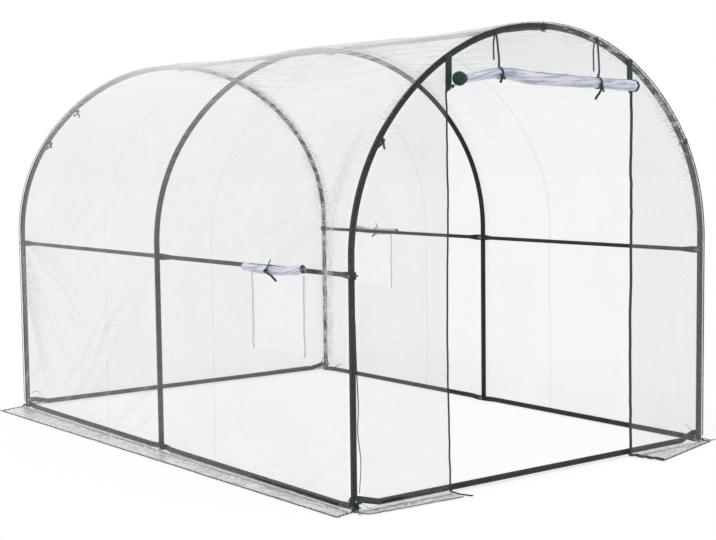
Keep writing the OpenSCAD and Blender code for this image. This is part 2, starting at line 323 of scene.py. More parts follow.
def revolved(outline: Array, centre: Sequence[float], axis: Sequence[float], sides: int = 24) -> Surface:
    """An outline turned about an axis, closed at both ends.

    Args:
        outline: (distance along the axis, radius) from one end to the other, (n, 2).
        centre: where distance 0 lies.
        axis: the axis' direction.
        sides: how many sides it has.

    Returns:
        The surface.
    """
    axis = unit(np.asarray(axis, float))
    first = unit(np.cross(axis, [0.31, 0.87, 0.39]))
    second = np.cross(axis, first)
    turn = np.linspace(0, FULL_TURN, sides, endpoint=False)
    ring = np.cos(turn)[:, None] * first + np.sin(turn)[:, None] * second
    points = np.asarray(centre) + outline[:, 0, None, None] * axis + outline[:, 1, None, None] * ring
    uv = np.stack(np.meshgrid(turn * outline[:, 1].max(), outline[:, 0]), axis=-1)
    return Surface.from_grid(points, uv, closed=True, caps=True, flip=True)


# ---------------------------------------------------------------- finishes


class Graph:
    """The nodes of one material, or of a world."""

    def __init__(self, name: str, *, world: bool = False) -> None:
        """Starts an empty material, or an empty world, of that name."""
        self.owner = (bpy.data.worlds if world else bpy.data.materials).new(name)
        self.owner.use_nodes = True
        self.tree = self.owner.node_tree
        self.tree.nodes.clear()
        self.sink = self.tree.nodes.new("ShaderNodeOutputWorld" if world else "ShaderNodeOutputMaterial")

    def add(self, kind: str, inputs: dict | None = None, **settings: object) -> bpy.types.Node:
        """Adds a node.

        Args:
            kind: the node's type, without its "ShaderNode".
            inputs: for each input socket's name or number, a value or the socket that feeds it.
            settings: the node's own settings.

        Returns:
            The node.
        """
        node = self.tree.nodes.new("ShaderNode" + kind)
        for name, value in settings.items():
            setattr(node, name, value)
        for name, value in (inputs or {}).items():
            if isinstance(value, bpy.types.NodeSocket):
                self.tree.links.new(value, node.inputs[name])
            else:
                node.inputs[name].default_value = value
        return node

    def sum(self, kind: str, *values: object) -> bpy.types.NodeSocket:
        """The result of a Math node: kind is its operation."""
        return self.add("Math", dict(enumerate(values)), operation=kind).outputs[0]

    def span(
        self, value: object, low: float, high: float, to_low: float, to_high: float
    ) -> bpy.types.NodeSocket:
        """The value moved from the span low..high to the span to_low..to_high, and kept in it."""
        ends = {"Value": value, "From Min": low, "From Max": high, "To Min": to_low, "To Max": to_high}
        return self.add("MapRange", ends).outputs[0]

    def noise(self, place: object, scale: tuple, detail: float = 3, turn: float = 0) -> bpy.types.NodeSocket:
        """Noise from 0 to 1 with scale cells a metre along each axis, after a turn about Z.

        Args:
            place: the coordinates' socket.
            scale: cells a metre along X, Y and Z.
            detail: how many finer layers it has.
            turn: angle about Z in radians.

        Returns:
            The noise's socket.
        """
        turned = self.add("Mapping", {"Vector": place, "Rotation": (0, 0, turn)}).outputs[0]
        mapped = self.add("Mapping", {"Vector": turned, "Scale": scale}).outputs[0]
        return self.add("TexNoise", {"Vector": mapped, "Scale": 1.0, "Detail": detail}).outputs[0]

    def tint(self, share: object, first: object, second: tuple) -> bpy.types.NodeSocket:
        """The mix of two colours by share, from 0 to 1. The first is a plain colour or a socket."""
        first = first if isinstance(first, bpy.types.NodeSocket) else (*first, 1)
        mix = self.add("Mix", {"Factor": share, "A": first, "B": (*second, 1)}, data_type="RGBA")
        return mix.outputs["Result"]

    def bump(self, height: object, depth: float, strength: float = 1.0) -> bpy.types.NodeSocket:
        """Normals bent by a height from 0 to 1 that stands for depth metres."""
        return self.add("Bump", {"Height": height, "Distance": depth, "Strength": strength}).outputs[0]

    def seen(self) -> bpy.types.NodeSocket:
        """1 where it is seen directly, mirrored or through clear film, and 0 where it only gives light."""
        rays = self.add("LightPath").outputs
        shown = self.sum("MAXIMUM", rays["Is Camera Ray"], rays["Is Glossy Ray"])
        return self.sum("MAXIMUM", shown, rays["Is Transmission Ray"])

    def blend(self, share: object, first: bpy.types.Node, second: bpy.types.Node) -> bpy.types.Node:
        """The mix of two shader nodes by share, from 0 to 1."""
        return self.add("MixShader", {0: share, 1: first.outputs[0], 2: second.outputs[0]})

    def finish(self, shader: bpy.types.Node) -> bpy.types.ID:
        """Sends the shader node to the output and returns the material or the world."""
        self.tree.links.new(shader.outputs[0], self.sink.inputs["Surface"])
        return self.owner


@dataclass(frozen=True)
class Finish:
    """A finish, whose material is made once."""

    name: str

    def material(self) -> bpy.types.Material:
        """The finish's Blender material."""
        return bpy.data.materials.get(self.name) or self.build()

    def build(self) -> bpy.types.Material:
        """Makes the material's nodes."""
        raise NotImplementedError


@dataclass(frozen=True)
class PowderCoat(Finish):
    """Dark grey powder coat on steel tube, mottled, with rubbed spots."""

    colour: tuple = (0.013, 0.017, 0.019)
    faded: tuple = (0.026, 0.031, 0.034)
    rubbed: tuple = (0.11, 0.12, 0.125)

    def build(self) -> bpy.types.Material:
        """Large mottling, uneven gloss, orange peel and small rubbed spots, from Object coordinates."""
        g = Graph(self.name)
        place = g.add("TexCoord").outputs["Object"]
        mottle = g.span(g.noise(place, (7, 7, 7), 4), 0.35, 0.7, 0, 1)
        worn = g.span(g.noise(place, (90, 90, 60), 5), 0.66, 0.76, 0, 0.7)
        coat = g.tint(worn, g.tint(mottle, self.colour, self.faded), self.rubbed)
        peel = g.noise(place, (900, 900, 900), 2)
        shader = g.add(
            "BsdfPrincipled",
            {
                "Base Color": coat,
                "Roughness": g.span(g.noise(place, (25, 25, 25), 3), 0.3, 0.7, 0.38, 0.55),
                "Normal": g.bump(peel, 0.0003, 0.25),
                "Specular IOR Level": 0.22,
            },
        )
        return g.finish(shader)


@dataclass(frozen=True)
class ClearFilm(Finish):
    """Clear soft plastic film: mostly see-through, with a grey haze that thickens in creases and gathers,
    painted highlights in a pale colour on creases and gathers, and painted shade in a darker grey where it
    lies on the ground.

    haze is how much light the plain film stops. streak, crease, gather and ground are what each of them adds
    to it, and thickest is the most that it comes to. gloss is the share mirrored head on, and edge_power how
    late that grows towards a glancing angle. relief is the bump's depth in metres.
    """

    colour: tuple = (0.24, 0.255, 0.265)
    # painted highlight: a pale colour that stands for glints on the film's creases
    crease_colour: tuple = (0.56, 0.57, 0.59)
    # painted highlight: a near-white colour that stands for glossy glints on gathered and crumpled film
    gather_colour: tuple = (0.86, 0.87, 0.89)
    # painted shade: a darker grey that stands for the shade in the wrinkles of film lying on the ground
    ground_colour: tuple = (0.36, 0.375, 0.39)
    haze: float = 0.108
    streak: float = 0.05
    crease: float = 0.17
    gather: float = 0.75
    ground: float = 0.30
    thickest: float = 0.85
    gloss: float = 0.03
    edge_power: float = 4.0
    relief: float = 0.004

    def build(self) -> bpy.types.Material:
        """Clear, hazed by noise and by the marks crease, gather, ground, calm and crumple, under a gloss. The
        crease, gather and crumple marks also paint pale highlights into its colour, and the ground mark
        paints darker shade.
        """
        g = Graph(self.name)
        place = g.add("TexCoord").outputs["UV"]
        names = ("crease", "gather", "ground", "calm", "crumple")
        crease, gather, ground, calm, crumple = (
            g.add("Attribute", attribute_name=name).outputs["Fac"] for name in names
        )
        cloud = g.span(g.noise(place, (2.2, 1.6, 1), 3), 0.3, 0.7, 0.85, 1.15)
        streak = g.span(g.noise(place, (9, 70, 1), 3, 0.2), 0.56, 0.80, 0, 1)
        strand = g.span(g.noise(place, (24, 120, 1), 2), 0.49, 0.58, 0, 1)
        # painted shade: streaky extra haze where the film lies on the ground, partly bunched film and partly
        # the shade of its wrinkles
        ground_shade_streaks = g.span(g.noise(place, (9, 30, 1), 3, 0.5), 0.35, 0.65, 0.3, 1.6)
        haze = g.sum("MULTIPLY", cloud, self.haze)
        haze = g.sum("MULTIPLY_ADD", streak, self.streak, haze)
        haze = g.sum("MULTIPLY_ADD", crease, self.crease, haze)
        upright = g.span(g.noise(place, (150, 14, 1), 3, 0.12), 0.47, 0.55, 0, 1)
        # gathered and crumpled film: thicker haze, a bump, and painted highlights in the colour
        gathered = g.sum("MULTIPLY_ADD", gather, strand, g.sum("MULTIPLY", crumple, upright))
        haze = g.sum("MULTIPLY_ADD", gathered, self.gather, haze)
        haze = g.sum("MULTIPLY_ADD", g.sum("MULTIPLY", ground, ground_shade_streaks), self.ground, haze)
        haze = g.sum("MULTIPLY", haze, g.span(calm, 0, 1, 1, 0.12))
        haze = g.sum("MINIMUM", haze, self.thickest)
        # painted highlights on creases, fewer where the film lies on the ground
        pale = g.sum("MULTIPLY", crease, g.span(ground, 0, 1, 1, 0.25))
        height = g.sum("MULTIPLY_ADD", gathered, 2.0, g.noise(place, (16, 45, 1), 4, 0.5))
        height = g.sum("MULTIPLY_ADD", g.noise(place, (2.5, 34, 1), 3, 0.06), 2.6, height)
        normal = g.bump(height, self.relief, 0.6)
        # painted shade on film that lies on the ground
        tone = g.tint(ground, self.colour, self.ground_colour)
        tone = g.tint(pale, tone, self.crease_colour)
        # painted highlights on gathered and crumpled film
        tone = g.tint(g.sum("MINIMUM", gathered, 1.0), tone, self.gather_colour)
        body = g.add("BsdfPrincipled", {"Base Color": tone, "Roughness": 0.45, "Normal": normal})
        shine = g.add("BsdfGlossy", {"Color": WHITE, "Roughness": 0.12, "Normal": normal})
        facing = g.add("LayerWeight", {"Blend": 0.5, "Normal": normal}).outputs["Facing"]
        share = g.sum("MULTIPLY_ADD", g.sum("POWER", facing, self.edge_power), 1 - self.gloss, self.gloss)
        share = g.sum("MULTIPLY", share, g.span(calm, 0, 1, 0.95, 0.25))
        return g.finish(g.blend(share, g.blend(haze, g.add("BsdfTransparent"), body), shine))


@dataclass(frozen=True)
class Netting(Finish):
    """Fine insect net: see-through, with thin pale threads both ways.

    cover is the haze between the threads, thread what a thread adds to it, and pitch the mesh in metres.
    """

    colour: tuple = (0.40, 0.42, 0.44)
    cover: float = 0.05
    thread: float = 0.10
    pitch: float = 0.004

    def build(self) -> bpy.types.Material:
        """Threads where either of two sines of the UV map is near its top, over an even thin haze."""
        g = Graph(self.name)
        place = g.add("TexCoord").outputs["UV"]
        apart = g.add("SeparateXYZ", {0: place})
        count = FULL_TURN / self.pitch
        waves = [g.sum("SINE", g.sum("MULTIPLY", apart.outputs[axis], count)) for axis in ("X", "Y")]
        thread = g.span(g.sum("MAXIMUM", *waves), 0.75, 1.0, 0, 1)
        uneven = g.span(g.noise(place, (14, 14, 1), 2), 0.3, 0.7, 0.8, 1.2)
        share = g.sum("MULTIPLY", g.sum("MULTIPLY_ADD", thread, self.thread, self.cover), uneven)
        body = g.add("BsdfPrincipled", {"Base Color": (*self.colour, 1), "Roughness": 0.7})
        return g.finish(g.blend(share, g.add("BsdfTransparent"), body))


@dataclass(frozen=True)
class RolledFilm(Finish):
    """Film rolled up on itself: many layers read as milky lilac with bright and grey streaks; the grey is
    partly uneven layering and partly painted shade of the roll's ridges.
    """

    pale: tuple = (0.76, 0.79, 0.89)
    deep: tuple = (0.36, 0.41, 0.54)

    def build(self) -> bpy.types.Material:
        """Streaks along the roll, from the UV map, with a wet gloss."""
        g = Graph(self.name)
        place = g.add("TexCoord").outputs["UV"]
        # grey streaks: partly uneven layering, partly painted shade of the roll's ridges, which the soft
        # light hardly shades
        streak = g.span(g.noise(place, (100, 7, 1), 4, 0.12), 0.44, 0.60, 0, 1)
        fleck = g.span(g.noise(place, (240, 40, 1), 3, 0.1), 0.58, 0.70, 0, 0.9)
        shade = g.sum("MAXIMUM", g.sum("SUBTRACT", streak, fleck), 0.0)
        shader = g.add(
            "BsdfPrincipled",
            {
                "Base Color": g.tint(shade, self.pale, self.deep),
                "Roughness": 0.28,
                "Normal": g.bump(g.noise(place, (130, 22, 1), 4, 0.1), 0.004, 0.7),
                "Coat Weight": 0.3,
                "Coat Roughness": 0.10,
            },
        )
        return g.finish(shader)


@dataclass(frozen=True)
class WovenTape(Finish):
    """Dark green woven binding tape."""

    colour: tuple = (0.010, 0.030, 0.023)
    thread: tuple = (0.030, 0.075, 0.058)
    pitch: float = 0.0012

    def build(self) -> bpy.types.Material:
        """A plain weave: sine threads across and along the tape, in UV, with uneven dye."""
        g = Graph(self.name)
        place = g.add("TexCoord").outputs["UV"]
        apart = g.add("SeparateXYZ", {0: place})
        count = FULL_TURN / self.pitch
        waves = [g.sum("SINE", g.sum("MULTIPLY", apart.outputs[axis], count)) for axis in ("X", "Y")]
        weave = g.span(g.sum("MULTIPLY", *waves), -1, 1, 0, 1)
        dye = g.span(g.noise(place, (60, 60, 1), 3), 0.3, 0.7, 0, 0.6)
        shade = g.sum("MULTIPLY", g.sum("ADD", dye, 0.4), weave)
        shader = g.add(
            "BsdfPrincipled",
            {
                "Base Color": g.tint(shade, self.colour, self.thread),
                "Roughness": 0.72,
                "Normal": g.bump(weave, 0.0004, 0.6),
                "Specular IOR Level": 0.3,
                "Sheen Weight": 0.15,
            },
        )
        return g.finish(shader)


@dataclass(frozen=True)
class ZincPlate(Finish):
    """Dull zinc on the bolts, washers and nuts."""

    colour: tuple = (0.30, 0.31, 0.32)
    dull: tuple = (0.13, 0.135, 0.14)

    def build(self) -> bpy.types.Material:
        """Bright metal with dull patches, from Object coordinates."""
        g = Graph(self.name)
        place = g.add("TexCoord").outputs["Object"]
        patch = g.span(g.noise(place, (260, 260, 260), 4), 0.4, 0.65, 0, 1)
        shader = g.add(
            "BsdfPrincipled",
            {
                "Base Color": g.tint(patch, self.colour, self.dull),
                "Metallic": 0.9,
                "Roughness": g.span(patch, 0, 1, 0.30, 0.55),
                "Normal": g.bump(g.noise(place, (1400, 1400, 1400), 2), 0.0002, 0.3),
            },
        )
        return g.finish(shader)


COAT = PowderCoat("powder_coat")
FILM = ClearFilm("clear_film")
SEAM = ClearFilm("welded_seam", colour=(0.30, 0.31, 0.33), haze=0.38)
NET = Netting("insect_net")
ROLL = RolledFilm("milky_roll")
TAPE = WovenTape("green_tape")
ZINC = ZincPlate("zinc_plate")


# ---------------------------------------------------------------- the tunnel's own geometry


@dataclass(frozen=True)
class Tunnel:
    """The arch and the places of the arches, worked out from the frame's boxes."""

    half_span: float
    tube_r: float
    bay: float
    leg_h: float
    crown_h: float
    offset: float
    sweep: float = math.atan(0.75)

    @classmethod
    def from_frame(cls) -> "Tunnel":
        """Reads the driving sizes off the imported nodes."""
        low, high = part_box("front_right_leg")
        skin_low, skin_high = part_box("right_wall_film")
        tube_r = (high.x - low.x) / 2
        half_span = (high.x + low.x) / 2
        return cls(
            half_span=half_span,
            tube_r=tube_r,
            bay=-(low.y + high.y) / 2,
            leg_h=high.z,
            crown_h=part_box("front_crown")[1].z - tube_r,
            offset=(skin_low.x + skin_high.x) / 2 - half_span,
        )

    @property
    def bend_r(self) -> float:
        """Radius of the shoulder bends' centre line."""
        share = (1 - math.sin(self.sweep)) / math.cos(self.sweep)
        return (self.crown_h - self.leg_h - share * self.half_span) / (1 - share)

    @property
    def bend_x(self) -> float:
        """Distance of the shoulder bends' centres from the middle."""
        return self.half_span - self.bend_r

    @property
    def crown_r(self) -> float:
        """Radius of the crown's centre line."""
        return self.bend_r + self.bend_x / math.cos(self.sweep)

    @property
    def crown_z(self) -> float:
        """Height of the crown's centre."""
        return self.crown_h - self.crown_r

    @property
    def shoulder_s(self) -> float:
        """Length along the arch from the foot to the joint of bend and crown."""
        return self.leg_h + self.bend_r * self.sweep

    @property
    def length(self) -> float:
        """Length of the arch's centre line from foot to foot."""
        return 2 * (self.shoulder_s + self.crown_r * (HALF_TURN / 2 - self.sweep))

    def arch(self, s: Array) -> tuple[Array, Array, Array, Array]:
        """The arch's centre line: a straight leg, a bend, the crown, and the same again mirrored.

        Args:
            s: length along it from the left foot.

        Returns:
            x, z and the outward direction's x and z.
        """
        side = np.where(s < self.length / 2, -1.0, 1.0)
        t = np.minimum(s, self.length - s)
        on_leg, on_bend = t < self.leg_h, t < self.shoulder_s
        turn = np.where(
            on_bend,
            np.maximum(t - self.leg_h, 0) / self.bend_r,
            self.sweep + (t - self.shoulder_s) / self.crown_r,
        )
        nx, nz = np.cos(turn), np.sin(turn)
        x = np.where(on_bend, self.bend_x + self.bend_r * nx, self.crown_r * nx)
        z = np.where(on_bend, self.leg_h + self.bend_r * nz, self.crown_z + self.crown_r * nz)
        z = np.where(on_leg, t, z)
        return side * x, z, side * nx, nz

    def top(self, x: Array, offset: float) -> Array:
        """Height of the arch, moved outwards by offset, at distance x from the middle."""
        x = np.minimum(np.abs(x), self.half_span + offset)
        reach = self.bend_r + offset
        bend = self.leg_h + np.sqrt(np.maximum(reach**2 - np.maximum(x - self.bend_x, 0) ** 2, 0))
        crown = self.crown_z + np.sqrt(np.maximum((self.crown_r + offset) ** 2 - x**2, 0))
        joint = self.bend_x + reach * math.cos(self.sweep)
        return np.where(x > joint, bend, crown)

    def inside(self, x: Array, z: Array, offset: float) -> Array:
        """How far a point of an end wall is inside the arch's outline, moved outwards by offset."""
        x = np.abs(x)
        wall = self.half_span + offset - x
        bend = self.bend_r + offset - np.hypot(x - self.bend_x, z - self.leg_h)
        crown = self.crown_r + offset - np.hypot(x, z - self.crown_z)
        steep = (z - self.leg_h) < math.tan(self.sweep) * (x - self.bend_x)
        return np.where(z < self.leg_h, wall, np.where(steep, bend, crown))


TUNNEL = Tunnel.from_frame()


def film_marks(height: Array, rows: Array, columns: Array, **marks: Array) -> dict[str, Array]:
    """The film's marks: creases where it slopes, and the others as given, kept from 0 to 1.

    Args:
        height: how far the film stands out, (rows, columns).
        rows: distance along the rows' axis, (rows,).
        columns: distance along the columns' axis, (columns,).
        marks: gather (drawn together across an arch), calm (flat on a tube), ground (lying on it) and
            crumple (crushed along the posts).

    Returns:
        The named marks.
    """
    slope = np.hypot(*np.gradient(height, rows, columns))
    # crease also carries painted highlights: the film's material mixes in a pale colour where it is high
    crease = ease(slope, 0.05, 0.42) * (1 - marks["ground"])
    return {"crease": crease, **{name: np.clip(mark, 0, 1) for name, mark in marks.items()}}


def floor_fold(wall: Array) -> tuple[Array, Array, Array]:
    """The film's bend at the foot of a wall, from the floor up.

    Args:
        wall: how far out the wall's foot stands.

    Returns:
        How far out each row stands, its height, and its distance along the film, below 0.
    """
    turn = np.linspace(0, QUARTER_TURN, 5)[:-1, None]
    out = wall + FILLET * (1 - np.sin(turn))
    return out, FLOOR_GAP + (FILLET - FLOOR_GAP) * (1 - np.cos(turn)), -FILLET * np.cos(turn[:, 0])


def skirt_lift(pucker: Array, share: Array, rise: float) -> Array:
    """Puckers of a skirt, lower at the hem (share 0, full at rise) and at the wall's foot (share 1)."""
    return pucker * (0.25 + 0.75 * ease(share, 0.02, rise)) * (1 - 0.6 * ease(share, 0.85, 1.0))


# ---------------------------------------------------------------- the cover


@dataclass(frozen=True)
class Window:
    """A window's opening in a side wall."""

    y0: float
    y1: float
    z0: float
    z1: float

    @classmethod
    def on(cls, side: Side) -> "Window":
        """Reads the opening off the roll above it and the bindings beside it."""
        roll_low, roll_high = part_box(side.name.lower() + "_window_roll")
        bind_low, bind_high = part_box("window_bindings")
        past = 0.03
        return cls(roll_low.y + past, roll_high.y - past, bind_low.z, bind_high.z)


@dataclass(frozen=True)
class SideSkirt:
    """A side skirt's hem, front and back: its reach beyond the wall, and its end's place beyond the arch."""

    reach: tuple
    corner: tuple


SIDE_SKIRTS = {
    Side.LEFT: SideSkirt(reach=(0.104, 0.166), corner=(-0.036, -0.036)),
    Side.RIGHT: SideSkirt(reach=(0.053, 0.068), corner=(-0.036, 0.0)),
}


@dataclass
class Cover:
    """The three film widths that go over the arches from hem to hem.

    heads are the heights, along the film, of the bolt heads under it, and head_rise how far they lift it. sag
    is how far the film drops between arches, lap how far a width passes the next, and crumple_line the
    distance of the crushed line in front of the middle arch: at the ground, and what a metre of height adds.
    """

    heads: tuple
    head_rise: float = 0.0042
    head_r: float = 0.011
    sag: float = 0.007
    lap: float = 0.006
    lap_lift: float = 0.0007
    crumple_line: tuple = (1.311, 0.024)
    widths: tuple = ("front", "middle", "back")
    long_folds: Folds = Folds(0.0040, 0.082, 0.55, 11)
    fan_folds: Folds = Folds(0.0120, 0.036, 0.35, 23)
    slant_folds: Folds = Folds(0.0080, 0.11, 0.5, 32)
    short_folds: Folds = Folds(0.0022, 0.036, 0.12, 41)
    skirt_folds: Folds = Folds(0.0075, 0.045, 0.11, 51)
    skirt_slants: Folds = Folds(0.0045, 0.032, 0.3, 61)

    def bays(self, y: Array) -> tuple[Array, Array]:
        """(distance to the nearest arch, 0 to 1 rise from the arches to the middle of a bay)."""
        near = np.abs(y - TUNNEL.bay * np.round(np.clip(y / TUNNEL.bay, -1, 1)))
        share = near / TUNNEL.bay
        return near, 4 * share * (1 - share)

    def wrinkles(self, y: Array, s: Array) -> Array:
        """Height of the film's waves and folds over its stretched surface.

        Soft waves everywhere, folds along the tunnel in the roof, a fan of folds from the back post under the
        left rail, slanting folds low in the left wall, and short folds square to each arch.

        Args:
            y: place along the tunnel.
            s: length over the arch from the left foot.

        Returns:
            The height at each point.
        """
        half = TUNNEL.length / 2
        low = np.minimum(s, TUNNEL.length - s)
        near, bay = self.bays(y)
        roof = ease(low, TUNNEL.leg_h + 0.05, TUNNEL.leg_h + 0.35)
        wall = 1 - roof
        soft = 0.0045 * soft_noise(y / 0.46, s / 0.38, 3)
        long = self.long_folds.at(s, y) * roof
        way = np.where(s < half, 1.0, -1.0) * y
        fan_y, fan_z = 1.55 - way, 1.02 - low
        far, turn = np.hypot(fan_y, fan_z), np.arctan2(fan_z, fan_y)
        fan_mask = ease(far, 0.10, 0.22) * (1 - ease(far, 0.65, 1.15)) * ease(turn, 0.1, 0.4)
        fan = self.fan_folds.at(turn * 0.5, far) * fan_mask * wall * (s < half)
        slant = self.slant_folds.at(0.55 * y + 0.83 * low, 0.83 * y - 0.55 * low)
        slant = slant * wall * ease(low, 0.02, 0.12) * (s < half)
        short = self.short_folds.at(s, near) * np.exp(-near / 0.05) * ease(near, 0.004, 0.03)
        return (soft + long + fan + slant + short) * ease(bay, 0.0, 0.12) + short

    def skin(self, y: Array, s: Array) -> Array:
        """How far the film stands out from the arches' centre line: it rests on tubes and sags between."""
        near, bay = self.bays(y)
        low = np.minimum(s, TUNNEL.length - s)
        roof = ease(low, TUNNEL.leg_h, TUNNEL.leg_h + 0.5)
        out = TUNNEL.offset - self.sag * bay * (0.35 + 0.65 * roof) + self.wrinkles(y, s)
        clear = 0.0006
        over_tube = np.sqrt(np.maximum(TUNNEL.tube_r**2 - near**2, 0)) + clear
        heads = 0.0
        for height in self.heads:
            head = np.exp(-((near / self.head_r) ** 2) - ((low - height) / self.head_r) ** 2)
            heads = np.maximum(heads, head)
        return np.maximum(out, over_tube) + self.head_rise * heads

    def rows(self, y: Array) -> tuple[Array, Array, Array, Array]:
        """All rows of a width: left skirt, fold, over the arches, fold, right skirt.

        Args:
            y: the width's columns.

        Returns:
            Points, distances along the rows, film height over its plain surface, and 1 where a row lies on
            the floor.
        """
        bound = TUNNEL.bay + TUNNEL.offset
        left, right = (Window.on(side) for side in Side)
        end = TUNNEL.length
        breaks = [FILLET, left.z0, left.z1, end - right.z1, end - right.z0, end - FILLET]
        s = grid_lines(breaks, STEP)
        ss, yy = np.meshgrid(s, y, indexing="ij")
        out = self.skin(yy, ss)
        x, z, nx, nz = TUNNEL.arch(ss)
        over = np.stack([x + out * nx, yy, z + out * nz], axis=-1)
        rows = [(over, s, self.wrinkles(yy, ss), np.zeros(len(s)))]
        share = (y + bound) / (2 * bound)
        for side, hem in SIDE_SKIRTS.items():
            (reach0, reach1), (corner0, corner1) = hem.reach, hem.corner
            wall_x = TUNNEL.half_span + out[0 if side is Side.LEFT else -1]
            hem_x = TUNNEL.half_span + reach0 + (reach1 - reach0) * share
            hem_y = -TUNNEL.bay + corner0 + (2 * TUNNEL.bay + corner1 - corner0) * share
            fold_x, fold_z, fold_run = floor_fold(wall_x)
            fold = np.stack(np.broadcast_arrays(side.value * fold_x, y, fold_z), axis=-1)
            reach = max(hem.reach)
            t = np.linspace(0, 1, max(4, round(reach / STEP)))[:-1, None]
            skirt_x = hem_x + (wall_x + FILLET - hem_x) * t
            skirt_y = hem_y + (y - hem_y) * t
            pucker = self.skirt_folds.at(skirt_y + 0.3 * skirt_x, skirt_x, side.value)
            pucker = pucker + self.skirt_slants.at(skirt_x - 0.4 * skirt_y, skirt_y)
            lift = skirt_lift(pucker, t, 0.25)
            skirt = np.stack([side.value * skirt_x, skirt_y, FLOOR_GAP + lift], axis=-1)
            ground = np.concatenate([skirt, fold])
            run = np.append(np.linspace(-reach, -FILLET, len(t)), fold_run)
            rise = np.concatenate([lift, np.zeros(fold.shape[:2])])
            on_floor = np.ones(len(run))
            if side is Side.LEFT:
                rows.insert(0, (ground, run, rise, on_floor))
            else:
                rows.append((ground[::-1], end - run[::-1], rise[::-1], on_floor))
        points, along, heights, flat = (np.concatenate(part) for part in zip(*rows))
        return points, along, heights, flat[:, None] * np.ones(len(y))

    def width(self, index: int) -> tuple[Surface, dict[str, Array]]:
        """One of the film widths, which laps over the next, with its windows cut out.

        Args:
            index: 0 at the front, 2 at the back.

        Returns:
            The surface, and the lines of points along its edges.
        """
        bound = TUNNEL.bay + TUNNEL.offset
        share = 2 * bound / len(self.widths)
        y0 = -bound + index * share - (self.lap if index else 0)
        y1 = -bound + (index + 1) * share + (self.lap if index < 2 else 0)
        cuts = [Window.on(side) for side in Side]
        beside = 0.03
        arches = (-TUNNEL.bay + beside, -beside, beside, TUNNEL.bay - beside)
        inner = [b for b in (*(b for cut in cuts for b in (cut.y0, cut.y1)), *arches) if y0 < b < y1]
        y = grid_lines(sorted([y0, *inner, y1]), STEP)
        points, along, height, flat = self.rows(y)
        if index == 1:
            normal = np.cross(np.gradient(points, axis=0), np.gradient(points, axis=1))
            points = points + self.lap_lift * unit(normal)
        marks = self.marks(y, along, height, flat)
        uv = np.stack(np.broadcast_arrays(y[None, :], along[:, None]), axis=-1)
        middle_y, middle_s = (y[1:] + y[:-1]) / 2, (along[1:] + along[:-1]) / 2
        keep = np.ones((len(along) - 1, len(y) - 1), bool)
        for side, cut in zip(Side, cuts):
            z = middle_s if side is Side.LEFT else TUNNEL.length - middle_s
            tall, wide = (z > cut.z0) & (z < cut.z1), (middle_y > cut.y0) & (middle_y < cut.y1)
            keep &= ~(tall[:, None] & wide[None, :])
        edges = {"left_hem": points[0], "right_hem": points[-1], "first": points[:, 0], "last": points[:, -1]}
        return Surface.from_grid(points, uv, marks, keep=keep), edges

    def marks(self, y: Array, along: Array, height: Array, flat: Array) -> dict[str, Array]:
        """What the film is marked with.

        It is gathered beside the end arches, calm where it lies tight on their left halves, crumpled along
        the crushed line of the left wall, and half gathered on the floor. Gathered and crumpled film gets
        painted highlights in its colour.

        Args:
            y: the columns' places.
            along: the rows' distances over the arch.
            height: how far the film stands out.
            flat: 1 where it lies on the floor.

        Returns:
            The named marks.
        """
        near, _ = self.bays(y)
        near = near[None, :] * np.ones((len(along), 1))
        low = np.minimum(along, TUNNEL.length - along)[:, None]
        over = flat[:, :1] == 0
        left = along[:, None] < TUNNEL.length / 2
        at_end = np.abs(np.abs(y) - TUNNEL.bay)[None, :]
        patch = 0.5 + 0.5 * soft_noise(near * 9 + 5 * (y > 0), along[:, None] / 0.11 * np.ones_like(near), 71)
        shoulder = ease(low, 0.95, 1.15) * (1 - ease(low, 1.75, 2.0)) * ~left
        drawn = np.where(left & (low < 1.35), 0.25, 0.25 + 0.75 * ease(low, 0.90, 1.10) + shoulder)
        gather = np.exp(-((at_end / 0.045) ** 2)) * drawn * patch * over + 0.4 * flat * patch
        calm = np.exp(-((at_end / 0.018) ** 2)) * (left & (low < 1.5)) * over
        off_line = y[None, :] + self.crumple_line[0] + self.crumple_line[1] * low
        crumple = np.exp(-((off_line / 0.030) ** 2)) * left * over * (0.6 + 0.4 * patch)
        crumple = crumple * ease(low, 0.50, 0.60) * (1 - ease(low, 1.15, 1.55))
        return film_marks(height, along, y, gather=gather, calm=calm, ground=flat, crumple=crumple)

    def build(self) -> dict[str, list[Array]]:
        """Makes the widths as pieces and returns the lines along their edges."""
        stands_for = {
            "front": ("front_roof_film", "left_wall_film"),
            "middle": ("middle_roof_film", "left_skirt", "right_skirt"),
            "back": ("back_roof_film", "right_wall_film"),
        }
        edges: dict[str, list[Array]] = {}
        for index, name in enumerate(self.widths):
            surface, lines = self.width(index)
            made = surface.piece(f"cover_{name}_width", FILM, Slot.FILM)
            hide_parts(*stands_for[name])
            for key, line in lines.items():
                edges.setdefault(key, []).append(line)
            log.info("%s: %d points", made.name, len(surface.points))
        return edges


